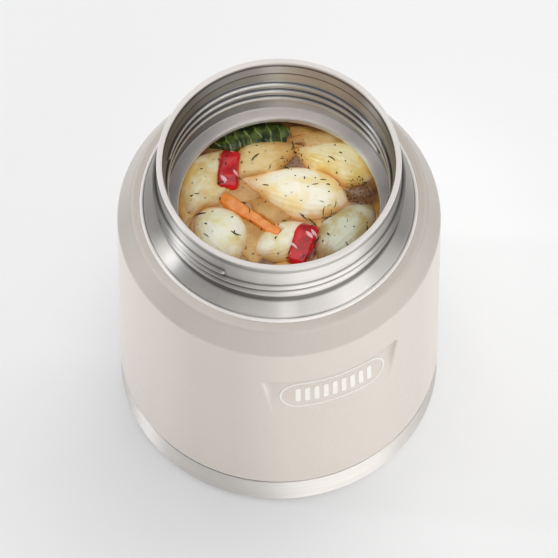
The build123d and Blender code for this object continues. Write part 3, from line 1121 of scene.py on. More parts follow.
class Recipe:
    """A Geometry Nodes tree with named inputs, baked into a piece's mesh."""

    def __init__(self, name: str, inputs: dict[str, str]) -> None:
        """Starts the tree.

        Args:
            name: Name of the tree.
            inputs: Kind of each named input, such as Float, Int or Material.
        """
        self.tree = bpy.data.node_groups.new(name, "GeometryNodeTree")
        self.graph = Graph(self.tree)
        self.keys: dict[str, str] = {}
        face = self.tree.interface
        face.new_socket("Geometry", in_out="INPUT", socket_type="NodeSocketGeometry")
        for label, kind in inputs.items():
            made = face.new_socket(label, in_out="INPUT", socket_type=f"NodeSocket{kind}")
            self.keys[label] = made.identifier
        face.new_socket("Geometry", in_out="OUTPUT", socket_type="NodeSocketGeometry")
        self.source = self.graph.node("NodeGroupInput")

    def input(self, label: str) -> Field:
        """A named input, for use in sums."""
        return Field(self.graph, self.source.outputs[label])

    def moved(self, geometry: Socket, **places: Any) -> Socket:
        """Moves points.

        Args:
            geometry: What is moved.
            places: Position or Offset, as a vector's socket.

        Returns:
            The moved geometry.
        """
        return self.graph.first("GeometryNodeSetPosition", inputs={"Geometry": geometry, **places})

    def close(self, geometry: Socket) -> None:
        """Ends the tree: real meshes, smooth, in the piece's material.

        Args:
            geometry: What the tree has made.
        """
        real = self.graph.first("GeometryNodeRealizeInstances", inputs={"Geometry": geometry})
        smooth = self.graph.first("GeometryNodeSetShadeSmooth", inputs={"Geometry": real})
        dressed = self.graph.first("GeometryNodeSetMaterial", inputs={
            "Geometry": smooth, "Material": self.source.outputs["Material"]})
        self.graph.node("NodeGroupOutput", inputs={"Geometry": dressed})

    def bake(self, piece: Object, values: Inputs) -> None:
        """Runs the tree on a piece and keeps the result as its mesh.

        Args:
            piece: The piece, whose mesh the tree starts from.
            values: Value of each named input.
        """
        modifier = piece.modifiers.new(self.tree.name, "NODES")
        modifier.node_group = self.tree
        for label, value in values.items():
            modifier[self.keys[label]] = value
        bpy.context.view_layer.update()
        seen = piece.evaluated_get(bpy.context.evaluated_depsgraph_get())
        mesh = bpy.data.meshes.new_from_object(seen)
        piece.modifiers.remove(modifier)
        plain = piece.data
        piece.data = mesh
        mesh.name = piece.name
        bpy.data.meshes.remove(plain)


THREAD_STARTS = 2


@dataclass
class Thread:
    """A right-hand thread of equal ridges, evenly spaced round the axis."""

    side: ThreadSide
    wall: float
    lead: float
    height: float
    width: float
    turn: float  # degrees that each ridge runs
    top_z: float  # height of each ridge's top end
    heading: float  # of the first ridge's top end

    def values(self, finish: Finish) -> Inputs:
        """Lists the inputs for the recipe that rolls it.

        Args:
            finish: Look of the wall.

        Returns:
            The inputs, by name.
        """
        return {
            "Wall Radius": self.wall, "Lead": self.lead, "Height": self.height * self.side.value,
            "Half Width": self.width / 2, "Turn": self.turn, "Top": self.top_z, "Heading": self.heading,
            "Start Spacing": 360 / THREAD_STARTS, "Material": finish.material(),
        }


class RolledThread(Recipe):
    """Pushes the ridges of a thread out of a turned wall."""

    ROUNDNESS = 0.72  # below 1 a ridge is fuller, above it is sharper
    REACH = 0.1 * MM  # how far from the wall's radius a vertex still belongs to the wall

    def __init__(self) -> None:
        """Builds the tree."""
        lengths = ["Wall Radius", "Lead", "Height", "Half Width", "Turn", "Top", "Heading", "Start Spacing"]
        super().__init__("rolled_thread", {**dict.fromkeys(lengths, "Float"), "Material": "Material"})
        graph = self.graph
        x, y, z = graph.split(graph.first("GeometryNodeInputPosition"))
        radius, heading = graph.length(x, y), graph.heading(x, y)
        ridge = self._ridge(heading, z, 0)
        for start in range(1, THREAD_STARTS):
            ridge = ridge.at_least(self._ridge(heading, z, start))
        near = graph.math("COMPARE", radius, self.input("Wall Radius"), self.REACH)
        push = ridge * near * self.input("Height") / radius
        self.close(self.moved(self.source.outputs["Geometry"], Offset=graph.join(x * push, y * push, 0.0)))

    def _ridge(self, heading: Field, z: Field, start: int) -> Field:
        """Height of one ridge, as a share.

        Args:
            heading: Of the point, in degrees.
            z: Height of the point.
            start: Which of the ridges.

        Returns:
            1 on the crest, 0 off the ridge.
        """
        graph, lead, turn = self.graph, self.input("Lead"), self.input("Turn")
        first = self.input("Heading") + self.input("Start Spacing") * float(start)
        behind = graph.math("FLOORED_MODULO", first - heading, 360.0)
        laps = graph.math("ROUND", (self.input("Top") - z) / lead - behind / 360.0)
        along = behind + laps * 360.0
        held = along.at_least(0.0).at_most(turn)
        drop = z - (self.input("Top") - lead * held / 360.0)
        slip = (along - held) * self.input("Wall Radius") * (pi / 180)
        reach = (drop * drop + slip * slip) / (self.input("Half Width") ** 2.0)
        return (1.0 - reach).at_least(0.0) ** self.ROUNDNESS


class PanelMark(Recipe):
    """A pill outline and a row of plain bars, printed on the recessed panel."""

    ROUNDING = 10  # points of a rounded end's quarter
    OUTLINE_POINTS = 220

    def __init__(self) -> None:
        """Builds the tree."""
        lengths = ["Pitch", "Bar Width", "Bar Height", "Outline Width", "Outline Height", "Line", "Thickness",
                   "Wall Radius", "Slope", "Panel Foot", "Heading", "Centre"]
        super().__init__("panel_mark", {**dict.fromkeys(lengths, "Float"), "Count": "Int",
                                        "Material": "Material"})
        joined = self.graph.node("GeometryNodeJoinGeometry")
        for flat in (self._bars(), self._outline()):
            self.tree.links.new(flat, joined.inputs[0])
        self.close(self._bent(joined.outputs[0]))

    def _pill(self, width: Field, height: Field) -> Socket:
        """Draws a closed outline with round ends.

        Args:
            width: Its width.
            height: Its height.

        Returns:
            The curve.
        """
        box = self.graph.first("GeometryNodeCurvePrimitiveQuadrilateral", inputs={
            "Width": width, "Height": height})
        return self.graph.first("GeometryNodeFilletCurve", {"mode": "POLY"}, {
            "Curve": box, "Count": self.ROUNDING, "Radius": width.at_most(height) * 0.499})

    def _bars(self) -> Socket:
        """Repeats one round-ended bar along a line.

        Returns:
            The row of bars, flat.
        """
        graph, pitch, count = self.graph, self.input("Pitch"), self.input("Count")
        path = graph.first("GeometryNodeCurvePrimitiveLine", inputs={
            "End": graph.join(0.0, 0.0, self.input("Thickness"))})
        outline = self._pill(self.input("Bar Width"), self.input("Bar Height"))
        bar = graph.first("GeometryNodeCurveToMesh", inputs={
            "Curve": path, "Profile Curve": outline, "Fill Caps": True})
        row = graph.first("GeometryNodeMeshLine", inputs={
            "Count": count, "Start Location": graph.join((1.0 - count) * pitch * 0.5, 0.0, 0.0),
            "Offset": graph.join(pitch, 0.0, 0.0)})
        placed = graph.first("GeometryNodeInstanceOnPoints", inputs={"Points": row, "Instance": bar})
        return graph.first("GeometryNodeRealizeInstances", inputs={"Geometry": placed})

    def _outline(self) -> Socket:
        """Runs a flat line round the pill.

        Returns:
            The line, flat.
        """
        graph = self.graph
        pill = self._pill(self.input("Outline Width"), self.input("Outline Height"))
        ring = graph.first("GeometryNodeResampleCurve", inputs={"Curve": pill, "Count": self.OUTLINE_POINTS})
        flat = graph.first("GeometryNodeCurvePrimitiveQuadrilateral", inputs={
            "Width": self.input("Line"), "Height": self.input("Thickness")})
        swept = graph.first("GeometryNodeCurveToMesh", inputs={"Curve": ring, "Profile Curve": flat})
        return self.moved(swept, Offset=graph.join(0.0, 0.0, self.input("Thickness") * 0.5))

    def _bent(self, flat: Socket) -> Socket:
        """Bends the flat mark round the wall and leans it with the panel.

        Args:
            flat: The flat mark.

        Returns:
            The mark on the wall.
        """
        graph = self.graph
        across, up, out = graph.split(graph.first("GeometryNodeInputPosition"))
        height = self.input("Centre") + up
        radius = self.input("Wall Radius") - (height - self.input("Panel Foot")) * self.input("Slope") + out
        angle = self.input("Heading") * (pi / 180) + across / self.input("Wall Radius")
        return self.moved(flat, Position=graph.join(
            graph.math("COSINE", angle) * radius, graph.math("SINE", angle) * radius, height))


class HerbScatter(Recipe):
    """Lays small curved cuts of herb on the food."""

    TILT = 0.25  # radians that a cut leans at most
    SHARES = (0.45, 1.25)  # least and greatest scale of a cut

    def __init__(self) -> None:
        """Builds the tree."""
        lengths = dict.fromkeys(["Density", "Length", "Gauge", "Curl", "Spacing"], "Float")
        super().__init__("herb_scatter", {**lengths, "Seed": "Int", "Material": "Material"})
        graph, seed, gauge = self.graph, self.input("Seed"), self.input("Gauge")
        spread = graph.node("GeometryNodeDistributePointsOnFaces", {"distribute_method": "POISSON"}, {
            "Mesh": self.source.outputs["Geometry"], "Distance Min": self.input("Spacing"),
            "Density Max": self.input("Density"), "Seed": seed})
        turn = graph.first("FunctionNodeRandomValue", {"data_type": "FLOAT_VECTOR"}, {
            0: (-self.TILT, -self.TILT, 0.0), 1: (self.TILT, self.TILT, 2 * pi), "Seed": seed})
        facing = graph.first("FunctionNodeRotateRotation", {"rotation_space": "LOCAL"}, {
            0: spread.outputs["Rotation"], 1: graph.first("FunctionNodeEulerToRotation", inputs={0: turn})})
        size = graph.node("FunctionNodeRandomValue", {"data_type": "FLOAT"}, {
            2: self.SHARES[0], 3: self.SHARES[1], "Seed": seed + 7.0})
        radius = self.input("Length") / self.input("Curl")
        centred = self.moved(self._cut(radius, gauge), Offset=graph.join(-1.0 * radius, 0.0, gauge * 0.25))
        self.close(graph.first("GeometryNodeInstanceOnPoints", inputs={
            "Points": spread.outputs["Points"], "Instance": centred, "Rotation": facing,
            "Scale": size.outputs[1]}))

    def _cut(self, radius: Field, gauge: Field) -> Socket:
        """Makes one cut of herb, curved and thinner at its ends.

        Args:
            radius: Of its curve.
            gauge: Thickness at its middle.

        Returns:
            Its mesh, beside the origin.
        """
        graph = self.graph
        sprig = graph.first("GeometryNodeCurveArc", inputs={
            "Resolution": 6, "Radius": radius, "Start Angle": 0.0, "Sweep Angle": self.input("Curl")})
        stem = graph.first("GeometryNodeCurvePrimitiveCircle", inputs={
            "Resolution": 5, "Radius": gauge * 0.5})
        along = Field(graph, graph.first("GeometryNodeSplineParameter"))
        thin = (1.0 - (along * 2.0 - 1.0) ** 2.0) * 0.75 + 0.25
        tapered = graph.first("GeometryNodeSetCurveRadius", inputs={"Curve": sprig, "Radius": thin})
        return graph.first("GeometryNodeCurveToMesh", inputs={
            "Curve": tapered, "Profile Curve": stem, "Scale": thin, "Fill Caps": True})


# --- The jar's steel ---


def mount(name: str) -> Inputs:
    """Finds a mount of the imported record."""
    return next(entry for entry in frame["record"]["mounts"] if entry["name"] == name)


@dataclass
class JarSizes:
    """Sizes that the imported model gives, in metres."""

    body_radius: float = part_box("body_shell")[1].x
    collar_z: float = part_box("body_shell")[1].z
    skirt_z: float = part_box("body_shell")[0].z
    rim_z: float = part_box("inner_vessel")[1].z
    vessel_z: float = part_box("inner_vessel")[0].z
    vessel_radius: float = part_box("inner_vessel")[1].x
    neck_radius: float = mount("cup_thread")["dims"]["r_mm"] * MM
    bore_radius: float = mount("stopper_thread")["dims"]["r_mm"] * MM
    ledge_z: float = mount("sealing_ledge")["pos_m"][2]
    cup_thread_z: float = mount("cup_thread")["pos_m"][2]
    stopper_thread_z: float = mount("stopper_thread")["pos_m"][2]
    band_radius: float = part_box("base_cup")[1].x
    band_z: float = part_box("base_cup")[1].z
    cup_foot_z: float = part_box("base_cup")[0].z
    foot_radius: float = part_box("foot_ring")[1].x
    foot_top_z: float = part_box("foot_ring")[1].z
    broth_z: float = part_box("broth")[1].z


@dataclass
class Panel:
    """The shallow tapered recess pressed into the wall."""

    heading: float = -90.0
    width: float = 47.5 * MM  # along its top edge
    lean: float = 10.0  # degrees that each side leans in towards the foot
    height: float = 22.0 * MM
    top_drop: float = 16.3 * MM  # from the shoulder's edge
    depth: float = 1.2 * MM
    corner: float = 2.6 * MM
    edge: float = 0.65 * MM  # width of the pressed edge

    def slope(self) -> float:
        """Lean of the panel's face."""
        return self.depth / self.height


@dataclass
class OuterShell:
    """Coated outer wall: skirt, wall with the recessed panel, shoulder and collar."""

    sizes: JarSizes
    panel: Panel = field(default_factory=Panel)
    mark: Finish = MarkPrint("pale_print")
    gauge: float = 0.8 * MM
    skirt_inset: float = 1.1 * MM
    seam_gap: float = 0.5 * MM
    wall_height: float = 82.0 * MM
    shoulder_inset: float = 4.5 * MM
    shoulder_rise: float = 8.8 * MM
    collar_radius: float = 44.85 * MM
    bends: tuple[float, ...] = (0.6 * MM, 0.6 * MM, 2.5 * MM, 2.0 * MM)
    mark_count: int = 9
    edge_rise: float = 30 * MM  # from the seam to where the painted highlight and shade on the panel's edges start
    fine_headings: int = 170  # across the panel
    coarse_headings: int = 200

    def build(self) -> None:
        """Makes the shell and the print on its panel."""
        seam_z = self.sizes.band_z + self.seam_gap
        shoulder_z = seam_z + self.wall_height
        crease_z = shoulder_z + self.shoulder_rise
        outer, half = self.sizes.body_radius - self.gauge / 2, self.gauge / 2
        path = SheetPath(
            [
                (outer - self.skirt_inset, self.sizes.skirt_z + half),
                (outer - self.skirt_inset, seam_z - half),
                (outer, seam_z + half),
                (outer, shoulder_z),
                (outer - self.shoulder_inset + half / 2, crease_z - half),
                (self.collar_radius, self.sizes.collar_z - half),
            ],
            list(self.bends), self.gauge, [3 * MM, 0.3 * MM, 0.5 * MM, 0.9 * MM, 0.9 * MM],
        )
        coat = PowderCoat("sandstone_coat", self.sizes.body_radius, seam_z, shoulder_z, crease_z,
                          seam_z + self.edge_rise)
        shell = turned("body_shell_coated", [path.loop()], coat, self._headings(), self._pressed)
        settle(shell, "powder_coat", "body_shell")
        self._print_mark()

    def _headings(self) -> list[float]:
        """Lists headings round the wall, closer together across the panel.

        Returns:
            The headings, in degrees.
        """
        margin = 4.0
        half = degrees(self.panel.width / 2 / self.sizes.body_radius) + margin
        left, right = self.panel.heading - half, self.panel.heading + half
        return [*np.linspace(left, right, self.fine_headings),
                *np.linspace(right, left + 360, self.coarse_headings)[1:-1]]

    def _panel_foot(self) -> float:
        """Height of the panel's lower edge."""
        shoulder_z = self.sizes.band_z + self.seam_gap + self.wall_height
        return shoulder_z - self.panel.top_drop - self.panel.height

    def _pressed(self, vertices: Array) -> Array:
        """Presses the panel into the wall.

        Args:
            vertices: The plain wall.

        Returns:
            The same vertices, moved towards the axis inside the panel.
        """
        panel = self.panel
        foot_z = self._panel_foot()
        radius = np.hypot(vertices[:, 0], vertices[:, 1])
        heading = np.arctan2(vertices[:, 1], vertices[:, 0]) - radians(panel.heading)
        across = np.abs(np.sin(heading)) * self.sizes.body_radius
        height = vertices[:, 2] - foot_z
        lean = radians(panel.lean)
        side = (panel.width / 2 - (panel.height - height) * tan(lean) - across) * cos(lean)
        top = panel.height - height
        short = np.maximum(panel.corner - np.stack([side, top, height + panel.corner]), 0)
        inside = panel.corner - np.sqrt((short**2).sum(0))
        inside[np.cos(heading) < 0] = -1.0
        share = np.clip(inside / panel.edge, 0, 1)
        push = np.clip(height, 0, None) * panel.slope() * share * share * (3 - 2 * share)
        push[radius < self.sizes.body_radius - 2 * self.gauge] = 0
        moved = vertices.copy()
        moved[:, :2] *= (1 - push / np.maximum(radius, MM))[:, None]
        return moved

    def _print_mark(self) -> None:
        """Prints the plain mark on the panel's face."""
        mark = add_piece("panel_mark", np.zeros((0, 3)), [], self.mark)
        PanelMark().bake(mark, {
            "Pitch": 3.1 * MM, "Bar Width": 1.7 * MM, "Bar Height": 7.4 * MM, "Outline Width": 36.5 * MM,
            "Outline Height": 13.2 * MM, "Line": 0.74 * MM, "Thickness": 0.14 * MM,
            "Wall Radius": self.sizes.body_radius, "Slope": self.panel.slope(),
            "Panel Foot": self._panel_foot(), "Heading": self.panel.heading,
            "Centre": self._panel_foot() + self.panel.height * 0.56, "Count": self.mark_count,
            "Material": self.mark.material(),
        })
        settle(mark, "powder_coat")


@dataclass
class Neck:
    """Bare steel neck: lap under the collar, rolled bead, cone and rolled outer thread."""

    sizes: JarSizes
    roller: RolledThread
    gauge: float = 0.8 * MM
    lap_radius: float = 46.1 * MM
    lap_depth: float = 1.85 * MM  # of the lap's edge under the collar's top
    lap_rise: float = 0.75 * MM
    step_radius: float = 42.87 * MM
    cone_foot_z: float = 106.1 * MM
    cone_top_z: float = 109.8 * MM
    bead_radius: float = 43.9 * MM
    bead_wire: float = 0.75 * MM
    lip: float = 0.9 * MM

    def build(self) -> None:
        """Makes the neck and rolls its thread."""
        sizes = self.sizes
        wall = sizes.neck_radius - self.gauge / 2
        lap_z = sizes.collar_z - self.lap_depth
        path = SheetPath(
            [
                (self.lap_radius, lap_z), (self.step_radius, lap_z + self.lap_rise),
                (self.step_radius, self.cone_foot_z), (wall, self.cone_top_z),
                (wall, sizes.rim_z - self.lip - self.gauge / 2),
            ],
            [0.6 * MM, 0.6 * MM, 0.6 * MM], self.gauge, [1 * MM, 0.3 * MM, 0.4 * MM, 0.2 * MM],
        )
        # Its steel has a painted shade line under the rim.
        steel = NeckSteel("neck_steel", wall=sizes.neck_radius, ridges_from=self.cone_top_z + 1.2 * MM,
                          ridges_to=sizes.rim_z - 2 * MM, bead_radius=self.bead_radius - 0.2 * MM,
                          lines=((sizes.rim_z - 2.2 * MM, 1.1 * MM, 0.4),))
        bead = circle((self.bead_radius, sizes.collar_z + 0.02 * MM), self.bead_wire, 20)
        neck = turned("neck_threaded", [path.loop(), bead], steel, even(400))
        thread = Thread(steel.side, wall=sizes.neck_radius, lead=6.4 * MM, height=1.35 * MM, width=2.5 * MM,
                        turn=402.0, top_z=sizes.cup_thread_z, heading=222.5)
        self.roller.bake(neck, thread.values(steel))
        settle(neck, "neck_steel", "neck_shell")


@dataclass
class InnerVessel:
    """Bare steel vessel: rolled rim, flare, rolled inner thread, sealing ledge, throat and cavity."""

    sizes: JarSizes
    roller: RolledThread
    gauge: float = 0.6 * MM
    lip: float = 0.9 * MM
    flare: float = 0.9 * MM
    flare_depth: float = 4.8 * MM
    ledge_width: float = 4.1 * MM
    throat_depth: float = 2.0 * MM
    shoulder_drop: float = 9.4 * MM

    def build(self) -> None:
        """Makes the vessel and rolls its thread."""
        sizes, half = self.sizes, self.gauge / 2
        bore = sizes.bore_radius + half
        throat = bore - self.ledge_width
        cavity = sizes.vessel_radius - half
        ledge = sizes.ledge_z - half
        throat_z = ledge - self.throat_depth
        floor_z = sizes.vessel_z + half
        path = SheetPath(
            [
                (sizes.neck_radius - half, sizes.rim_z - self.lip + half),
                (sizes.neck_radius - half, sizes.rim_z - half),
                (bore + self.flare, sizes.rim_z - half), (bore, sizes.rim_z - self.flare_depth),
                (bore, ledge), (throat, ledge), (throat, throat_z), (cavity, throat_z - self.shoulder_drop),
                (cavity, floor_z), (0, floor_z),
            ],
            [0.28 * MM, 0.32 * MM, 2.0 * MM, 0.7 * MM, 0.7 * MM, 0.7 * MM, 4.0 * MM, 9.0 * MM], self.gauge,
            [0.2 * MM, 0.2 * MM, 0.4 * MM, 0.2 * MM, 0.5 * MM, 0.5 * MM, 1.5 * MM, 8 * MM, 8 * MM],
            coarse=8 * MM,
        )
        # Its steel has two painted shade lines near the rim.
        steel = VesselSteel("vessel_steel", wall=sizes.bore_radius, ridges_from=sizes.ledge_z + 1 * MM,
                            ridges_to=sizes.rim_z - 5 * MM, ledge_z=sizes.ledge_z, rim_z=sizes.rim_z,
                            lines=((sizes.rim_z - 1.5 * MM, 0.5 * MM, 0.75),
                                   (sizes.rim_z - 5.1 * MM, 0.5 * MM, 0.7)))
        vessel = turned("inner_vessel_threaded", [path.loop()], steel, even(320))
        thread = Thread(steel.side, wall=sizes.bore_radius, lead=8.2 * MM, height=1.1 * MM, width=2.4 * MM,
                        turn=500.0, top_z=sizes.stopper_thread_z, heading=147.5)
        self.roller.bake(vessel, thread.values(steel))
        settle(vessel, "vessel_steel", "inner_vessel")


@dataclass
class Base:
    """Brushed base cup and the rubber ring in its groove."""

    sizes: JarSizes
    gauge: float = 0.6 * MM
    heel: float = 1.8 * MM
    groove_depth: float = 1.2 * MM
    foot_width: float = 5.6 * MM
    foot_round: float = 0.35 * MM
    slack: float = 0.2 * MM

    def build(self) -> None:
        """Makes the cup and its foot."""
        sizes, half = self.sizes, self.gauge / 2
        floor_z = sizes.cup_foot_z + half
        groove_z = floor_z + self.groove_depth
        outer = sizes.foot_radius + self.slack + half
        inner = sizes.foot_radius - self.foot_width - self.slack - half
        band = sizes.band_radius - half
        path = SheetPath(
            [
                (0, floor_z), (inner, floor_z), (inner, groove_z), (outer, groove_z), (outer, floor_z),
                (band, floor_z), (band, sizes.band_z - half),
            ],
            [0.5 * MM, 0.5 * MM, 0.5 * MM, 0.5 * MM, self.heel], self.gauge,
            [4 * MM, 0.5 * MM, 1 * MM, 0.5 * MM, 1 * MM, 0.8 * MM],
        )
        cup = turned("base_cup_brushed", [path.loop()], BrushedSteel("band_steel"), even(360))
        settle(cup, "band_steel", "base_cup")
        rubber = PlainPiece("foot_rubber", (44, 44, 44), 0.6, 0.0, 0.4 * MM)
        foot = turned("foot_ring_rubber", [self._foot_section()], rubber, even(240))
        settle(foot, "foot_rubber", "foot_ring")

    def _foot_section(self) -> list[Point]:
        """Draws the foot ring's section, a bar with round corners.

        Returns:
            Points of radius and height, counterclockwise.
        """
        right, top = self.sizes.foot_radius, self.sizes.foot_top_z
        left = right - self.foot_width
        corners = [(left, 0.0, 180), (right, 0.0, 270), (right, top, 0), (left, top, 90)]
        return [
            (x + self.foot_round * ((1 if x == left else -1) + cos(radians(start + turn))),
             z + self.foot_round * ((1 if z == 0.0 else -1) + sin(radians(start + turn))))
            for x, z, start in corners for turn in (0, 30, 60, 90)
        ]


# --- The food ---

BROTH_Z = JarSizes.broth_z


@dataclass
class Morsel:
    """Where a piece of food lies in the food's own layout, and how big it is.

    Lengths come as shares of the throat's radius. The heading is of its long axis, in degrees, and
    the height is above the broth.
    """

    name: str
    x: float
    y: float
    heading: float
    length: float
    width: float
    height: float
    strip: bool = False
    tip: float = 0.09  # radius of a shell's tip, as a share of its width

    def __post_init__(self) -> None:
        """Works the place and the size out in metres."""
        throat = mount("throat_bore")["dims"]["r_mm"] * MM
        for name in ("x", "y", "length", "width", "height"):
            setattr(self, name, getattr(self, name) * throat)

    def along_across(self, x: Array, y: Array) -> tuple[Array, Array]:
        """Turns a place in the layout into one along and across the piece."""
        return rotated(x - self.x, y - self.y, -self.heading)

    def laid(self, shape: Array) -> Array:
        """Lays vertices that were made at the origin where the piece lies.

        Args:
            shape: Vertices, or rings of them, with the long axis along X.

        Returns:
            The same vertices in the layout.
        """
        x, y = rotated(shape[..., 0], shape[..., 1], self.heading)
        return np.stack([self.x + x, self.y + y, shape[..., 2]], -1)

    def clearance(self, x: Array, y: Array) -> Array:
        """Distance from the piece's outline, negative inside it.

        Args:
            x: Places in the layout.
            y: Places in the layout.

        Returns:
            The distances, in metres.
        """
        along, across = self.along_across(x, y)
        across = np.abs(across)
        if self.strip:
            corner = self.width / 4
            out_x = np.abs(along) - self.length / 2 + corner
            out_y = across - self.width / 2 + corner
            outside = np.hypot(np.maximum(out_x, 0), np.maximum(out_y, 0))
            return outside + np.minimum(np.maximum(out_x, out_y), 0) - corner
        big, small = self.width / 2, self.width * self.tip
        reach = self.length - big - small
        back = self.length / 2 - big - along  # from the round end's middle towards the tip
        slope = (big - small) / reach
        level = sqrt(1 - slope * slope)
        share = level * back - slope * across
        sides = across * level + back * slope - big
        round_end = np.hypot(across, back) - big
        tip_end = np.hypot(across, back - reach) - small
        return np.where(share < 0, round_end, np.where(share > level * reach, tip_end, sides))


def rippled(vertices: Array, size: float, amount: float, seed: int) -> Array:
    """Moves vertices by smooth noise.

    Args:
        vertices: Rings of vertices.
        size: Width of one swell.
        amount: How far they move at most.
        seed: Picks the noise. Above 0, since 0 would pick it by the clock.

    Returns:
        The moved vertices.
    """
    flat = vertices.reshape(-1, 3)
    noise.seed_set(seed)
    moves = [noise.noise_vector(Vector(vertex) / size + Vector((seed, seed * 2, -seed))) for vertex in flat]
    return vertices + np.array(moves).reshape(vertices.shape) * amount


@dataclass
class FoodPiece:
    """A closed piece of food that stands out of the broth."""

    SLOT: ClassVar[str] = "pasta"
    SUFFIX: ClassVar[str] = "cooked"

    place: Morsel
    look: Finish
    seed: int

    def rings_of(self) -> Array:
        """Works out its surface as rings of vertices, in the layout."""
        raise NotImplementedError

    def build(self, nestled: Callable[[Array], Array]) -> Object:
        """Makes the piece.

        Args:
            nestled: Moves vertices from the layout to where they lie in the jar.

        Returns:
            The object.
        """
        return wrapped(f"{self.place.name}_{self.SUFFIX}", nestled(self.rings_of()), self.look)


@dataclass
class PastaShell(FoodPiece):
    """A pasta shell that lies with its ribbed back up."""

    curve: float = 0.06  # sideways bend of its long axis, as a share of its length
    belly: float = 0.6  # where it is widest, from its tip
    rib_depth: float = 0.11 * MM
    ribs: int = 26
    keel: float = 2.6 * MM  # how far it reaches under the broth
    fullness: float = 1.45  # its back against the height of its node
    rings: int = 64
    around: int = 96

    def rings_of(self) -> Array:
        """Works out its surface.

        Returns:
            Rings of vertices from the tip to the round end, in the layout.
        """
        place = self.place
        share = (1 - np.cos(np.linspace(0, pi, self.rings))) / 2
        x = -place.length / 2 + place.length * share
        breadth = np.sin(pi * share ** (log2(0.5) / log2(self.belly))).clip(0) ** 0.72
        angle = np.linspace(0, 2 * pi, self.around, endpoint=False)
        rib = 1 + self.rib_depth / (place.width / 2) * np.cos(self.ribs * angle)
        half = place.width / 2 * breadth[:, None] * 1.03
        rise = place.height * self.fullness * (breadth[:, None] ** 0.85)
        top = np.where(np.sin(angle) > 0, rise, self.keel * breadth[:, None] ** 0.5)
        shape = np.empty((self.rings, self.around, 3))
        shape[..., 0] = x[:, None]
        shape[..., 1] = half * np.cos(angle) * rib + self.curve * place.length * (
            (x / place.length) ** 2 - 0.08)[:, None] * 2
        shape[..., 2] = BROTH_Z + top * np.sin(angle) * rib
        return place.laid(rippled(shape, 9 * MM, 0.55 * MM, self.seed))


@dataclass
class Cutting(FoodPiece):
    """A cut piece of pepper: a box with rounded edges, bowed along its length."""

    SLOT: ClassVar[str] = "pepper"
    SUFFIX: ClassVar[str] = "cut"

    squareness: float = 0.42  # 1 is round, 0 is a sharp box
    taper: float = 0.0  # how much narrower one end is
    bow: float = 0.6 * MM
    keel: float = 1.5 * MM
    ripple: float = 0.5 * MM
    rings: int = 40
    around: int = 64

    def rings_of(self) -> Array:
        """Works out its surface.

        Returns:
            Rings of vertices from end to end, in the layout.
        """
        def squared(value: Array) -> Array:
            """Pushes a round profile towards a square one."""
            return np.sign(value) * np.abs(value) ** self.squareness

        place = self.place
        along = np.linspace(-pi / 2, pi / 2, self.rings)
        around = np.linspace(0, 2 * pi, self.around, endpoint=False)
        x = squared(np.sin(along)) * place.length / 2
        narrow = 1 - self.taper * (x / place.length + 0.5)
        breadth = squared(np.cos(along)).clip(0)[:, None]
        shape = np.empty((self.rings, self.around, 3))
        shape[..., 0] = x[:, None]
        shape[..., 1] = breadth * squared(np.cos(around)) * place.width / 2 * narrow[:, None]
        middle = (place.height - self.keel) / 2
        thick = (place.height + self.keel) / 2
        arch = self.bow * (1 - (2 * x / place.length) ** 2)[:, None]
        shape[..., 2] = BROTH_Z + middle + breadth * squared(np.sin(around)) * thick + arch - self.bow
        return place.laid(rippled(shape, 5 * MM, self.ripple, self.seed))


@dataclass
class CarrotStrip(Cutting):
    """A cut strip of carrot."""

    SLOT: ClassVar[str] = "carrot"


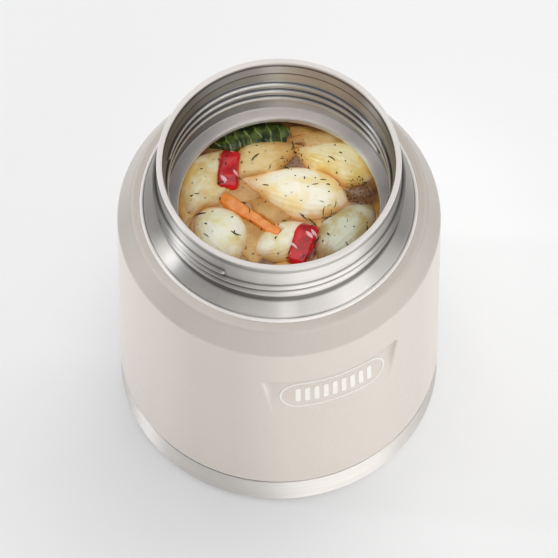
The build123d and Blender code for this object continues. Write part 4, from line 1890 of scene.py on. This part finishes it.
@dataclass
class LeafGreens(FoodPiece):
    """A wilted leaf that lies rippled against the throat."""

    SLOT: ClassVar[str] = "greens"
    SUFFIX: ClassVar[str] = "wilted"

    thickness: float = 0.45 * MM
    ruffles: int = 3
    columns: int = 150
    rows: int = 36

    def build(self, nestled: Callable[[Array], Array]) -> Object:
        """Makes the leaf as a closed sheet with its own map.

        Args:
            nestled: Moves vertices from the layout to where they lie in the jar.

        Returns:
            The object.
        """
        upper = self.rings_of().reshape(-1, 3)
        sheet = nestled(np.vstack([upper, upper - np.array([0, 0, self.thickness])]))
        leaf = add_piece(f"{self.place.name}_{self.SUFFIX}", sheet, self._faces(), self.look)
        chart = leaf.data.uv_layers.new(name="leaf")
        where = np.concatenate([np.stack(self._map(), -1).reshape(-1, 2)] * 2)
        corners = np.zeros(len(leaf.data.loops), np.int32)
        leaf.data.loops.foreach_get("vertex_index", corners)
        chart.data.foreach_set("uv", where[corners].ravel())
        return leaf

    def _map(self) -> Sequence[Array]:
        """Shares along and across the leaf, from 0 to 1, at each vertex."""
        return np.meshgrid(np.linspace(0, 1, self.columns), np.linspace(0, 1, self.rows), indexing="ij")

    def rings_of(self) -> Array:
        """Works out the leaf's upper face.

        Returns:
            Columns of vertices, in the layout.
        """
        place = self.place
        u, v = self._map()
        edge = np.sin(pi * u) ** 0.5
        scallop = 1 + 0.16 * np.sin(u * 2 * pi * 4.3 + 0.8) * (v < 0.5)
        shape = np.empty((self.columns, self.rows, 3))
        shape[..., 0] = (u - 0.5) * place.length
        shape[..., 1] = (v - 0.5) * place.width * edge * scallop
        crown = np.sin(pi * (0.12 + 0.8 * v)) ** 0.5 * edge
        folds = np.sin(u * 2 * pi * self.ruffles + v * 1.6) * 0.16 + np.sin(u * 2 * pi * 9) * 0.07
        shape[..., 2] = BROTH_Z + place.height * (crown * (1.0 + folds) - 0.15)
        return place.laid(rippled(shape, 4 * MM, 0.8 * MM, self.seed))

    def _faces(self) -> list[tuple[int, ...]]:
        """Joins the vertices of the upper and the lower face, and closes the sheet's rim.

        Returns:
            Vertex numbers of each face.
        """
        faces: list[tuple[int, ...]] = []
        under = self.columns * self.rows

        def index(i: int, j: int) -> int:
            """Number of a vertex of the upper face."""
            return i * self.rows + j

        for i in range(self.columns - 1):
            for j in range(self.rows - 1):
                quad = (index(i, j), index(i + 1, j), index(i + 1, j + 1), index(i, j + 1))
                faces.append(quad)
                faces.append(tuple(under + corner for corner in reversed(quad)))
        rim = [index(i, 0) for i in range(self.columns)]
        rim += [index(self.columns - 1, j) for j in range(1, self.rows)]
        rim += [index(i, self.rows - 1) for i in range(self.columns - 2, -1, -1)]
        rim += [index(0, j) for j in range(self.rows - 2, 0, -1)]
        for a, b in zip(rim, rim[1:] + rim[:1]):
            faces.append((b, a, under + a, under + b))
        return faces


@dataclass
class HerbPatch:
    """A round patch of the food with herbs on it, placed in the food's layout."""

    name: str
    look: Finish
    length: float
    gauge: float
    curl: float  # radians that a cut bends through
    spacing: float
    density: float
    seed: int
    x: float = 0.0
    y: float = 0.0
    reach: float = 31 * MM

    def build(self, scatter: HerbScatter, carrier: Array, faces: Sequence[tuple[int, ...]]) -> None:
        """Scatters the herbs over the part of the food that the patch covers.

        Args:
            scatter: The recipe that lays them.
            carrier: Vertices of the food's upper face.
            faces: Its faces.
        """
        x, y = rotated(self.x, self.y, CONTENTS_TURN)
        near = np.hypot(carrier[:, 0] - x, carrier[:, 1] - y) < self.reach
        herb = add_piece(self.name, carrier, [face for face in faces if near[face[0]]], self.look)
        scatter.bake(herb, {"Density": self.density, "Length": self.length, "Gauge": self.gauge,
                            "Curl": self.curl, "Spacing": self.spacing, "Seed": self.seed,
                            "Material": self.look.material()})
        settle(herb, "greens")


@dataclass
class Contents:
    """Broth with pasta, vegetables and herbs, laid out as the camera sees them and then turned."""

    nestle_from: float = 0.3 * MM  # a lower piece starts to dip this far from one over it
    nestle_to: float = -1.7 * MM
    dip: float = 3.4 * MM
    flat_radius: float = 38.4 * MM  # of the broth's surface
    throat_inset: float = 4.2 * MM  # how much less room the food has over the broth
    wall_slack: float = 0.3 * MM
    broth_corner: float = 8.7 * MM
    broth_edge: float = 5.6 * MM  # depth of the upper part that narrows to the flat surface
    broth_rings: int = 90
    creep: float = 0.45 * MM  # how far the broth creeps up what stands in it
    creep_reach: float = 0.9 * MM
    sag: float = 0.1 * MM  # of the surface between the pieces
    herb_grid: float = 0.5 * MM
    herb_reach: float = 30.5 * MM
    over: list[Morsel] = field(default_factory=list)  # the pieces made so far

    def build(self) -> None:
        """Makes the food, the topmost pieces first, then the broth and the herbs."""
        made = []
        for piece in self._pieces():
            food = piece.build(self._nestled)
            settle(food, piece.SLOT, *[name for name in [piece.place.name] if name in frame["nodes"]])
            made.append(food)
            self.over.append(piece.place)
        self._sprinkle([*made, self._broth()])

    def _pieces(self) -> list[FoodPiece]:
        """Lists the food, the topmost pieces first.

        Returns:
            The pieces.
        """
        z = BROTH_Z
        # Each food finish glows with painted light.
        pale = Pasta("pasta_pale", (255, 249, 226), (250, 226, 160), (208, 148, 72), z, 4.2 * MM, 0.28)
        golden = Pasta("pasta_golden", (252, 238, 188), (243, 214, 130), (204, 144, 66), z)
        dull = Pasta("pasta_dull", (248, 240, 202), (232, 204, 128), (192, 132, 60), z, 4.4 * MM, 0.16)
        beige = Pasta("pasta_beige", (240, 214, 150), (226, 184, 108), (186, 130, 66), z, glow=0.16)
        creamy = Pasta("pasta_creamy", (252, 250, 228), (236, 222, 156), (206, 152, 76), z, 4.4 * MM, 0.2)
        shaded = Pasta("pasta_shaded", (228, 230, 204), (208, 192, 132), (150, 102, 50), z, 4.8 * MM, 0.1)
        sunk = Pasta("pasta_sunk", (228, 182, 106), (208, 150, 76), (172, 114, 56), z, 0.9 * MM, 0.06)
        pepper = Vegetable("red_pepper", (216, 8, 22), (164, 2, 14), wet=0.5, streak_highlight=0.75)
        carrot = Vegetable("cooked_carrot", (250, 164, 72), (240, 138, 48), 0.7, 0.9 * MM, 0.2, 0.16)
        leaf = Leaf("dark_leaf")
        # Each shell's place, then its look, its curve, its belly and the depth of its ribs in mm.
        shells = [
            (0.149, 0.263, -15, 1.102, 0.576, 0.124, pale, 0.06, 0.6, 0.11),
            (0.539, 0.594, -22, 0.854, 0.495, 0.105, golden, 0.03, 0.6, 0.2),
            (-0.118, 0.650, 204, 0.824, 0.409, 0.087, beige, 0.05, 0.6, 0.11),
            (-0.573, -0.232, 118, 0.712, 0.526, 0.111, creamy, 0.02, 0.52, 0.11),
            (-0.712, 0.372, 62, 0.830, 0.539, 0.099, dull, -0.04, 0.5, 0.11),
            (0.650, -0.211, 48, 0.836, 0.480, 0.105, shaded, -0.05, 0.52, 0.11),
            (0.068, -0.297, 28, 0.681, 0.409, 0.087, creamy, 0.04, 0.45, 0.11),
            (0.384, 0.836, -8, 0.619, 0.260, 0.050, beige, 0.02, 0.6, 0.11),
        ]
        # Lumps that the broth all but covers: each one's place and its curve.
        sunk_shells = [
            (-0.270, -0.300, 100, 0.650, 0.400, 0.045, 0.06), (-0.380, 0.330, 25, 0.700, 0.420, 0.040, 0.04),
            (-0.090, 0.040, -32, 0.560, 0.300, 0.045, 0.04), (0.150, 0.900, -4, 0.600, 0.260, 0.036, 0.06),
            (-0.900, 0.150, 80, 0.560, 0.300, 0.045, 0.06), (0.060, -0.700, 8, 0.700, 0.340, 0.036, 0.06),
            (0.420, -0.060, 50, 0.500, 0.260, 0.036, 0.06),
        ]
        return [
            Cutting(Morsel("pepper_piece_1", -0.502, 0.495, 86, 0.450, 0.210, 0.118, True), pepper, 1,
                    taper=0.1, ripple=0.75 * MM),
            Cutting(Morsel("pepper_piece_2", 0.235, -0.365, 72, 0.462, 0.200, 0.118, True), pepper, 2,
                    squareness=0.36, taper=-0.16, ripple=0.45 * MM),
            CarrotStrip(Morsel("carrot_strip", -0.279, -0.025, -37, 0.743, 0.130, 0.068, True), carrot, 3,
                        taper=0.3, bow=0.3 * MM),
            *(PastaShell(Morsel(f"pasta_shell_{number}", *place), look, 10 + number, curve, belly, rib * MM)
              for number, (*place, look, curve, belly, rib) in enumerate(shells, 1)),
            LeafGreens(Morsel("leaf_greens", -0.303, 0.880, 11, 0.860, 0.400, 0.085, True), leaf, 3),
            *(PastaShell(Morsel(f"sunk_shell_{number}", *place), sunk, 20 + number, curve)
              for number, (*place, curve) in enumerate(sunk_shells, 1)),
        ]

    def _nestled(self, vertices: Array) -> Array:
        """Dips vertices near and under the pieces above, keeps them in the vessel and turns the layout.

        Args:
            vertices: Vertices in the layout.

        Returns:
            The vertices in the jar.
        """
        x, y, z = vertices[..., 0], vertices[..., 1], vertices[..., 2]
        for above in self.over:
            share = (above.clearance(x, y) - self.nestle_to) / (self.nestle_from - self.nestle_to)
            share = np.clip(share, 0, 1)
            share = share * share * (3 - 2 * share)
            z = BROTH_Z + (z - BROTH_Z) * share - self.dip * (1 - share)
        room = self.flat_radius - np.where(z > BROTH_Z, self.throat_inset, 0) - self.wall_slack
        pull = np.minimum(1, room / np.maximum(np.hypot(x, y), MM))
        return np.stack([*rotated(x * pull, y * pull, CONTENTS_TURN), z], -1)

    def _broth(self) -> Object:
        """Makes the broth, with a surface that creeps up the food.

        Returns:
            The object.
        """
        low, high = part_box("broth")
        top, corner, steps = BROTH_Z, self.broth_corner, 6
        turns = [pi / 2 * part / steps for part in range(steps + 1)]
        shares = [1 - part / self.broth_rings for part in range(self.broth_rings + 1)]
        section = [
            (0.0, low.z),
            *((high.x - corner + corner * sin(turn), low.z + corner - corner * cos(turn)) for turn in turns),
            (high.x, top - self.broth_edge),
            *((self.flat_radius * share, top) for share in shares),
        ]
        broth = turned("broth_surface", [section], Broth("golden_broth"), even(240), self._creep)
        settle(broth, "broth", "broth")
        return broth

    def _creep(self, vertices: Array) -> Array:
        """Lets the broth's surface creep up what stands in it and sag a little between.

        Args:
            vertices: The plain broth.

        Returns:
            The same vertices, with the surface's moved up or down.
        """
        x, y = rotated(vertices[:, 0], vertices[:, 1], -CONTENTS_TURN)
        on_top = vertices[:, 2] > BROTH_Z - MM / 10
        gap = np.min([morsel.clearance(x, y) for morsel in self.over], axis=0).clip(0)
        moved = vertices.copy()
        moved[:, 2] += np.where(on_top, self.creep * np.exp(-gap / self.creep_reach) - self.sag, 0)
        return moved

    def _sprinkle(self, food: Sequence[Object]) -> None:
        """Scatters herbs over whatever food shows from above.

        Args:
            food: The pieces that the herbs lie on.
        """
        bpy.context.view_layer.update()
        graph = bpy.context.evaluated_depsgraph_get()
        trees = [BVHTree.FromObject(piece, graph) for piece in food]
        count = int(2 * self.herb_reach / self.herb_grid) + 1
        ticks = np.linspace(-self.herb_reach, self.herb_reach, count)
        above, down = BROTH_Z + 20 * MM, Vector((0, 0, -1))
        numbers: dict[tuple[int, int], int] = {}
        spots: list[tuple[float, float, float]] = []
        for i, x in enumerate(ticks):
            for j, y in enumerate(ticks):
                if x * x + y * y <= self.herb_reach**2:
                    hits = [tree.ray_cast(Vector((x, y, above)), down)[0] for tree in trees]
                    numbers[i, j] = len(spots)
                    spots.append((x, y, max(hit.z for hit in hits if hit is not None)))
        quads = [[(i, j), (i + 1, j), (i + 1, j + 1), (i, j + 1)] for i, j in numbers]
        faces = [tuple(numbers[corner] for corner in quad) for quad in quads
                 if all(corner in numbers for corner in quad)]
        scatter = HerbScatter()
        for patch in self._patches():
            patch.build(scatter, np.array(spots), faces)

    def _patches(self) -> list[HerbPatch]:
        """Lists where the herbs and the spice lie.

        Returns:
            The patches.
        """
        cut = Herb("cut_herb", (34, 36, 18), (92, 110, 40))
        fresh = Herb("fresh_herb", (92, 104, 44), (150, 160, 84))
        spice = Herb("brown_spice", (70, 46, 28), (126, 86, 50))
        return [
            HerbPatch("dill_threads", cut, 4.0 * MM, 0.52 * MM, 0.6, 5.6 * MM, 30000, 5),
            HerbPatch("herb_flecks", cut, 1.2 * MM, 0.46 * MM, 1.3, 5.4 * MM, 24000, 23),
            HerbPatch("spice_grains", spice, 0.6 * MM, 0.42 * MM, 1.5, 3.6 * MM, 50000, 31),
            HerbPatch("spice_right", spice, 0.7 * MM, 0.4 * MM, 1.5, 0.7 * MM, 1200000, 41,
                      x=27 * MM, y=7.5 * MM, reach=5.5 * MM),
            HerbPatch("spice_back", spice, 0.6 * MM, 0.36 * MM, 1.5, 0.8 * MM, 900000, 43,
                      x=4.5 * MM, y=20 * MM, reach=3.5 * MM),
            HerbPatch("green_sprig", fresh, 2.6 * MM, 0.3 * MM, 0.9, 0.9 * MM, 900000, 47,
                      x=16.6 * MM, reach=3.0 * MM),
        ]


# --- The room ---


def stood(made: Object, azimuth: float, elevation: float, distance: float, aim_z: float) -> Object:
    """Stands a lamp or the camera away from the jar, facing its axis.

    Args:
        made: The new object.
        azimuth: Degrees to the right of the camera's side.
        elevation: Degrees above the horizon.
        distance: From the point it faces.
        aim_z: Height of that point.

    Returns:
        The same object, in the scene.
    """
    turn, lift = radians(CAMERA_HEADING + azimuth), radians(elevation)
    away = Vector((cos(turn) * cos(lift), sin(turn) * cos(lift), sin(lift)))
    made.location = Vector((0, 0, aim_z)) + away * distance
    made.rotation_euler = away.to_track_quat("Z", "Y").to_euler()
    bpy.context.scene.collection.objects.link(made)
    return made


@dataclass
class SoftBox:
    """A rectangular lamp that faces the jar."""

    name: str
    azimuth: float
    elevation: float
    width: float
    height: float
    level: float  # brightness of its face, 1 being white
    colour: Colour = (255, 255, 255)
    distance: float = 2.5
    aim_z: float = 0.08
    mirrored: bool = True  # whether bare steel shows it

    def build(self) -> None:
        """Makes the lamp."""
        lamp = bpy.data.lights.new(self.name, "AREA")
        lamp.shape = "RECTANGLE"
        lamp.size, lamp.size_y = self.width, self.height
        lamp.energy = self.level * pi * self.width * self.height
        lamp.color = linear(self.colour)[:3]
        made = stood(bpy.data.objects.new(self.name, lamp), self.azimuth, self.elevation, self.distance,
                     self.aim_z)
        made.visible_glossy = self.mirrored


@dataclass
class Studio:
    """Pale floor, soft lamps and the camera."""

    elevation: float = 59.89
    distance: float = 3.313
    aim_z: float = 0.0556
    lens: float = 659.0
    sensor: float = 36.0
    floor_size: float = 8.0
    zenith: float = 1.3
    round_levels: Bands = (
        (-180, 0.85), (-150, 0.7), (-120, 0.34), (-76, 0.3), (-30, 0.16), (-14, 0.46), (5, 0.95), (84, 0.9),
        (97, 0.32), (120, 0.32), (150, 0.6), (180, 0.85))  # brightness low round the jar, by azimuth

    def build(self) -> None:
        """Sets up the room."""
        self._camera()
        self._world()
        self._floor()
        for lamp in self._lamps():
            lamp.build()

    def _camera(self) -> None:
        """Stands the camera in front of and above the jar."""
        camera = bpy.data.cameras.new("camera")
        camera.lens, camera.sensor_width = self.lens, self.sensor
        camera.clip_start, camera.clip_end = 0.1, 20.0
        made = stood(bpy.data.objects.new("camera", camera), 0.0, self.elevation, self.distance, self.aim_z)
        bpy.context.scene.camera = made

    def _world(self) -> None:
        """Surrounds the jar with soft light: a pale ceiling over darker and brighter walls."""
        world = bpy.data.worlds.new("room")
        world.use_nodes = True
        graph = ShaderGraph(world.node_tree)
        x, y, z = graph.split(graph.node("ShaderNodeTexCoord").outputs["Generated"])
        walls = graph.levels(x, y, self.round_levels)
        upper = graph.mix(z.eased(0.24, 0.44) * 0.45, walls, BLACK)
        room = graph.mix(z.eased(0.74, 0.87), upper, (self.zenith, self.zenith, self.zenith, 1.0))
        world.node_tree.links.new(room, world.node_tree.nodes["Background"].inputs["Color"])
        bpy.context.scene.world = world
        bpy.context.scene.view_settings.view_transform = "Standard"

    def _floor(self) -> None:
        """Lays the floor."""
        half = self.floor_size / 2
        corners = np.array([(-half, -half, 0), (half, -half, 0), (half, half, 0), (-half, half, 0)], float)
        floor = add_piece("floor", corners, [(0, 1, 2, 3)], FloorPaint("floor_paint"))

    def _lamps(self) -> list[SoftBox]:
        """Lists the lamps.

        Returns:
            The lamps, not built yet.
        """
        return [
            SoftBox("right_box", 34, 15, 3.0, 1.2, 1.85),
            SoftBox("left_box", -80, 19, 0.3, 1.6, 3.0, (240, 246, 255)),
            SoftBox("glint_strip", -95, 45, 0.14, 0.7, 14.0),
            SoftBox("left_low", -120, 11, 2.8, 1.0, 3.6, (244, 248, 255), mirrored=False),
            SoftBox("right_low", 122, 9, 2.0, 0.7, 2.6, mirrored=False),
        ]


def dress_hidden_nodes() -> None:
    """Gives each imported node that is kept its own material."""
    looks = {
        "radiation_shield": PlainPiece("rolled_foil", (226, 228, 230), 0.18, 1.0, 6 * MM),
        "vacuum_bottom": PlainPiece("drawn_steel", (186, 186, 184), 0.34, 1.0, 2 * MM),
        "getter_bracket": PlainPiece("spot_welded_steel", (176, 176, 174), 0.38, 1.0, 1 * MM),
        "getter_capsule": PlainPiece("sintered_metal", (96, 96, 98), 0.7, 0.6, 0.2 * MM),
        "seal_plug": PlainPiece("sealing_glass", (120, 124, 128), 0.15, 0.0, 0.8 * MM),
        "base_sealant": PlainPiece("cured_sealant", (206, 206, 200), 0.55, 0.0, 1 * MM),
    }
    for name, look in looks.items():
        slot = frame["nodes"][name].material_slots[0]
        slot.link = "OBJECT"
        slot.material = look.material()
        log.info("%s: %s", name, look.name)


def main() -> None:
    """Builds the jar's looks and the room, and notes how big they are."""
    logging.basicConfig(level=logging.INFO, format="%(message)s")
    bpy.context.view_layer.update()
    Studio().build()
    sizes, roller = JarSizes(), RolledThread()
    OuterShell(sizes).build()
    Neck(sizes, roller).build()
    InnerVessel(sizes, roller).build()
    Base(sizes).build()
    Contents().build()
    dress_hidden_nodes()


if __name__ == "__main__":
    main()
